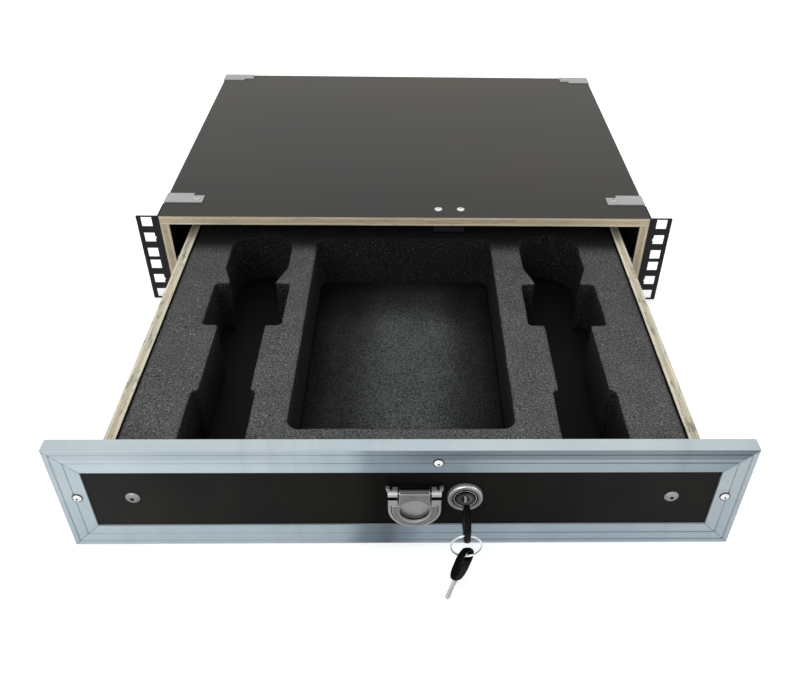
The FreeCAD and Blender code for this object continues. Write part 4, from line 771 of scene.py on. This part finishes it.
# ---- lock -------------------------------------------------------------------------------------
def make_lock_body():
    """Bezel with a domed rim, a groove and a sunk conical ring, on a threaded barrel."""
    low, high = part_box("lock_body")
    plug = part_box("lock_plug")
    middle = (low + high) / 2
    seat = Vector((middle.x, low.y, middle.z))
    radius = (high.x - low.x) / 2 / MM
    bore = (plug[1].x - plug[0].x) / 2 / MM + 0.05
    depth = (high.y - low.y) / MM
    face, barrel = 3.6, 9.4
    collar, thread = 17.5, 17.7     # the plain barrel behind the face, and where its thread starts
    profile = [(bore, 1.5), (bore + 0.4, 1.5), (bore + 0.5, 0.8), (bore + 0.85, 0.35), (bore + 1.15, 0.4),
               (bore + 1.2, 1.4), (bore + 2.0, 1.4), (bore + 2.05, 0.45), (radius - 1.7, 0.12),
               (radius - 1.3, 0.0), (radius - 0.85, 0.15), (radius - 0.45, 0.6), (radius - 0.2, 1.2),
               (radius - 0.05, 2.2), (radius, 3.1), (radius, face), (barrel, face), (barrel, face + collar)]
    dark = (0, 4, 5, 6, 14, 15)     # painted shade: the gap round the plug, the groove, and the rim's foot and back
    turns = 4
    pitch = (depth - face - thread) / turns
    for i in range(turns):
        start = face + thread + i * pitch
        profile += [(barrel - 0.5, start + pitch * 0.5), (barrel, start + pitch)]
    profile[-1] = (barrel - 0.3, depth)
    profile += [(bore, depth), (bore, 1.5)]
    bm = bmesh.new()
    turned(bm, [(r, -h) for r, h in profile], seat, -Y, 64, dark=dark)
    bmesh.ops.remove_doubles(bm, verts=bm.verts, dist=0.001 * MM)
    bmesh.ops.recalc_face_normals(bm, faces=bm.faces)
    piece("lock_bezel", bm, "lock_body", RING_NICKEL, HOLE_PAINTED_SHADE, sharp=40.0)


make_lock_body()


# ---- keys -------------------------------------------------------------------------------------
def slab(outline, holes, thickness, bevel):
    """Flat plate with rounded rims in the XY plane, from outlines in mm, as a bmesh."""
    curve = bpy.data.curves.new("slab", "CURVE")
    curve.dimensions = "2D"
    curve.fill_mode = "BOTH"
    for points in [outline] + holes:
        spline = curve.splines.new("POLY")
        spline.points.add(len(points) - 1)
        for point, (x, y) in zip(spline.points, points):
            point.co = (x * MM, y * MM, 0, 1)
        spline.use_cyclic_u = True
    curve.extrude = (thickness / 2 - bevel) * MM
    curve.bevel_depth = bevel * MM
    curve.bevel_resolution = 3
    curve.offset = -bevel * MM
    holder = bpy.data.objects.new("slab", curve)
    bpy.context.scene.collection.objects.link(holder)
    mesh = bpy.data.meshes.new_from_object(holder.evaluated_get(bpy.context.evaluated_depsgraph_get()))
    bm = bmesh.new()
    bm.from_mesh(mesh)
    bmesh.ops.remove_doubles(bm, verts=bm.verts, dist=0.005 * MM)
    bpy.data.objects.remove(holder)
    bpy.data.curves.remove(curve)
    bpy.data.meshes.remove(mesh)
    return bm


def rounded(half_x, half_y, corner, middle=0.0, steps=8):
    """Outline of a rectangle with round corners, its middle on the x axis."""
    points = []
    for sx, sy, start in ((1, 1, 0), (-1, 1, 90), (-1, -1, 180), (1, -1, 270)):
        for i in range(steps + 1):
            angle = math.radians(start + 90 * i / steps)
            points.append((middle + sx * (half_x - corner) + corner * math.cos(angle),
                           sy * (half_y - corner) + corner * math.sin(angle)))
    return points


BOW_LENGTH = 22.0
BOW_WIDTH = 22.0
BOW_THICK = 5.0
BOW_CORNER = 8.0
SLOT_INSET = 4.8
SLOT_LENGTH = 12.4
SLOT_WIDTH = 6.0
SPARE_LEAN = 44.0
SPARE_TURN = 35.0
SPARE_RISE = 0.45
RING_DROP = 4.8


def make_bow(node, place, along, across):
    """Bow with its slot's middle at the place: along runs to the blade, across is its width."""
    half = BOW_LENGTH / 2
    middle = half - SLOT_INSET
    outline = [(x, y * (1 - 0.10 * max(0.0, (x - middle) / half))) for x, y in
               rounded(half, BOW_WIDTH / 2, BOW_CORNER, middle)]
    slot = rounded(SLOT_WIDTH / 2, SLOT_LENGTH / 2, SLOT_WIDTH / 2 - 0.01)
    bm = slab(outline, [slot], BOW_THICK - 0.9, 1.3)
    pad = slab(rounded(4.4, BOW_WIDTH / 2 - 3.4, 3.2, middle + 3.0), [], BOW_THICK, 0.7)
    mesh = bpy.data.meshes.new("pad")
    pad.to_mesh(mesh)
    pad.free()
    bm.from_mesh(mesh)
    bpy.data.meshes.remove(mesh)
    turn = Matrix((along, across, along.cross(across))).transposed().to_4x4()
    bmesh.ops.transform(bm, matrix=Matrix.Translation(place) @ turn, verts=bm.verts)
    bmesh.ops.recalc_face_normals(bm, faces=bm.faces)
    piece(node + "_moulded", bm, node, MATERIAL[node], sharp=60.0)


def make_ring(node):
    """Split ring: two turns of flat wire side by side, with the step between them."""
    low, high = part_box(node)
    middle = (low + high) / 2
    outer = (high.x - low.x) / 2
    wire = (high.y - low.y) / 4
    wide = wire * 1.5
    radius = outer - wide
    steps, around = 144, 12
    step_from, step_over = 0.46, 0.08
    bm = bmesh.new()
    rings = []
    for i in range(steps):
        turn = 4 * math.pi * i / (steps - 1)
        share = i / (steps - 1)
        shift = wire * (-1 + 2 * max(0.0, min(1.0, (share - step_from) / step_over)))
        out = Vector((math.sin(turn), 0, math.cos(turn)))
        centre = middle + out * radius + Y * shift
        ring = []
        for k in range(around):
            angle = 2 * math.pi * k / around
            ring.append(bm.verts.new(centre + out * wide * math.cos(angle) + Y * wire * math.sin(angle)))
        rings.append(ring)
    for one, two in zip(rings, rings[1:]):
        for k in range(around):
            bm.faces.new([one[k], one[k - 1], two[k - 1], two[k]])
    bm.faces.new(rings[0])
    bm.faces.new(rings[-1])
    bmesh.ops.recalc_face_normals(bm, faces=bm.faces)
    piece("split_ring", bm, node, SILVER, sharp=60.0)


HINGES = {j["name"]: Vector(j["pos_m"]) for j in frame["joints"] if j["type"] == "hinge"}
spare_lean = Matrix.Rotation(math.radians(-90 - SPARE_LEAN), 3, "X")
spare_turn = Matrix.Rotation(math.radians(-SPARE_TURN), 3, "Z") @ spare_lean
spare_down = spare_turn @ Y
make_bow("key_bow", HINGES["ring_swing"] + Z * RING_DROP * MM, Y, Z)
make_bow("spare_key_bow", HINGES["spare_swing"] - spare_down * SPARE_RISE * MM, spare_down, spare_turn @ Z)
make_ring("key_ring")


# ---- foam -------------------------------------------------------------------------------------
def foam_piece(node, voxel, rough, material):
    """Soft solid with slightly rounded rims and an uneven cut, kept inside the CAD solid's box."""
    bm = copied(node)
    mesh = bpy.data.meshes.new(node)
    bm.to_mesh(mesh)
    bm.free()
    holder = bpy.data.objects.new(node, mesh)
    bpy.context.scene.collection.objects.link(holder)
    remesh = holder.modifiers.new("remesh", "REMESH")
    remesh.mode = "VOXEL"
    remesh.voxel_size = voxel * MM
    dense = bpy.data.meshes.new_from_object(holder.evaluated_get(bpy.context.evaluated_depsgraph_get()))
    bm = bmesh.new()
    bm.from_mesh(dense)
    bmesh.ops.smooth_vert(bm, verts=bm.verts, factor=0.4, use_axis_x=True, use_axis_y=True, use_axis_z=True)
    bm.normal_update()
    low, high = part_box(node)
    near = voxel * MM
    for vert in bm.verts:
        place = vert.co / MM
        shift = (noise.noise(place / 26.0) * 0.3 + noise.noise(place / 5.0) * 0.16
                 + noise.noise(place / 2.1) * 0.14)
        moved = vert.co - vert.normal * (0.2 + shift) * rough * MM
        for i in range(2):
            outward = abs(vert.normal[i]) > 0.4
            if outward and vert.co[i] - low[i] < near:
                moved[i] = low[i]
            if outward and high[i] - vert.co[i] < near:
                moved[i] = high[i]
        vert.co = Vector([min(max(c, a), b) for c, a, b in zip(moved, low, high)])
    bpy.data.objects.remove(holder)
    bpy.data.meshes.remove(mesh)
    bpy.data.meshes.remove(dense)
    thing = piece(node + "_cut", bm, node, material, sharp=180.0)


foam_piece("foam_insert", 1.6, 1.0, FOAM)
foam_piece("pocket_pad", 2.0, 0.6, PAD)


# ---- stage, light and camera ------------------------------------------------------------------
def seen_directly(tree):
    """1 for camera, glossy and transmission rays, so that the white ground shows in metal as well."""
    rays = tree.nodes.new("ShaderNodeLightPath")
    value = rays.outputs["Is Camera Ray"]
    for other in ("Is Glossy Ray", "Is Transmission Ray"):
        most = tree.nodes.new("ShaderNodeMath")
        most.operation = "MAXIMUM"
        tree.links.new(value, most.inputs[0])
        tree.links.new(rays.outputs[other], most.inputs[1])
        value = most.outputs[0]
    return value


def stage_material(name, tone, lift):
    """Pale studio paper: lit and shadowed, and lifted towards white where it is seen directly."""
    mat = bpy.data.materials.new(name)
    mat.use_nodes = True
    tree = mat.node_tree
    out = tree.nodes["Material Output"]
    paper = tree.nodes["Principled BSDF"]
    paper.inputs["Base Color"].default_value = (tone, tone, tone, 1)
    paper.inputs["Roughness"].default_value = 0.9
    paper.inputs["Specular IOR Level"].default_value = 0.0
    glow = tree.nodes.new("ShaderNodeEmission")
    glow.inputs["Strength"].default_value = lift
    both = tree.nodes.new("ShaderNodeAddShader")
    pick = tree.nodes.new("ShaderNodeMixShader")
    tree.links.new(seen_directly(tree), pick.inputs["Fac"])
    tree.links.new(paper.outputs[0], pick.inputs[1])
    tree.links.new(paper.outputs[0], both.inputs[0])
    tree.links.new(glow.outputs[0], both.inputs[1])
    tree.links.new(both.outputs[0], pick.inputs[2])
    tree.links.new(pick.outputs[0], out.inputs["Surface"])
    return mat


FLOOR_HALF = 9.0
FLOOR_GAP = 0.5 * MM        # under the object, so that their faces don't meet


def make_stage():
    bm = bmesh.new()
    bmesh.ops.create_grid(bm, x_segments=2, y_segments=2, size=FLOOR_HALF)
    mesh = bpy.data.meshes.new("floor")
    bm.to_mesh(mesh)
    bm.free()
    floor = bpy.data.objects.new("floor", mesh)
    bpy.context.scene.collection.objects.link(floor)
    floor.location.z = CAD_BOX[0].z - FLOOR_GAP
    floor.data.materials.append(stage_material("paper", 0.86, 0.35))


def area_light(name, place, aim, size, power):
    data = bpy.data.lights.new(name, "AREA")
    data.shape = "RECTANGLE"
    data.size, data.size_y = size
    data.energy = power
    lamp = bpy.data.objects.new(name, data)
    bpy.context.scene.collection.objects.link(lamp)
    lamp.location = place
    lamp.rotation_euler = (Vector(aim) - Vector(place)).to_track_quat("-Z", "Y").to_euler()
    return lamp


def make_light():
    world = bpy.data.worlds.new("studio")
    world.use_nodes = True
    tree = world.node_tree
    back = tree.nodes["Background"]
    back.inputs["Color"].default_value = (0.96, 0.98, 1.0, 1)
    back.inputs["Strength"].default_value = 0.5
    white = tree.nodes.new("ShaderNodeBackground")
    white.inputs["Strength"].default_value = 1.0
    pick = tree.nodes.new("ShaderNodeMixShader")
    tree.links.new(seen_directly(tree), pick.inputs["Fac"])
    tree.links.new(back.outputs[0], pick.inputs[1])
    tree.links.new(white.outputs[0], pick.inputs[2])
    tree.links.new(pick.outputs[0], tree.nodes["World Output"].inputs["Surface"])
    bpy.context.scene.world = world
    overhead = area_light("overhead", (0.0, 0.0, 2.2), (0, -0.15, 0), (2.4, 2.0), 30.0)
    overhead.visible_glossy = False
    area_light("front_fill", (-0.8, -2.2, 1.3), (0, -0.2, 0), (1.8, 1.2), 26.0)
    area_light("right_fill", (1.9, -0.9, 1.3), (0, -0.1, 0), (1.2, 1.2), 8.0)


def make_camera():
    """Camera fitted to the object's view: pitch, yaw, roll and focal length."""
    place = Vector((3.643, -824.869, 449.765)) * MM
    pitch, yaw, roll = 0.683, -0.031, 0.021
    focal, middle_u, middle_v = 814.622, 429.544, 361.764
    width, height = 800, 682
    turn = Matrix.Rotation(yaw, 3, "Z")
    ahead = turn @ Vector((0, math.cos(pitch), -math.sin(pitch)))
    up = turn @ Vector((0, math.sin(pitch), math.cos(pitch)))
    right = turn @ X
    right, up = (math.cos(roll) * right + math.sin(roll) * up, -math.sin(roll) * right + math.cos(roll) * up)
    data = bpy.data.cameras.new("camera")
    data.sensor_width = 36.0
    data.sensor_fit = "HORIZONTAL"
    data.lens = focal * data.sensor_width / width
    data.shift_x = (width / 2 - middle_u) / width
    data.shift_y = (middle_v - height / 2) / width
    data.clip_start = 0.02
    camera = bpy.data.objects.new("camera", data)
    bpy.context.scene.collection.objects.link(camera)
    basis = Matrix((right, up, -ahead)).transposed().to_4x4()
    camera.matrix_world = Matrix.Translation(place) @ basis
    bpy.context.scene.camera = camera


make_stage()
make_light()
make_camera()
bpy.context.scene.view_settings.view_transform = "Standard"
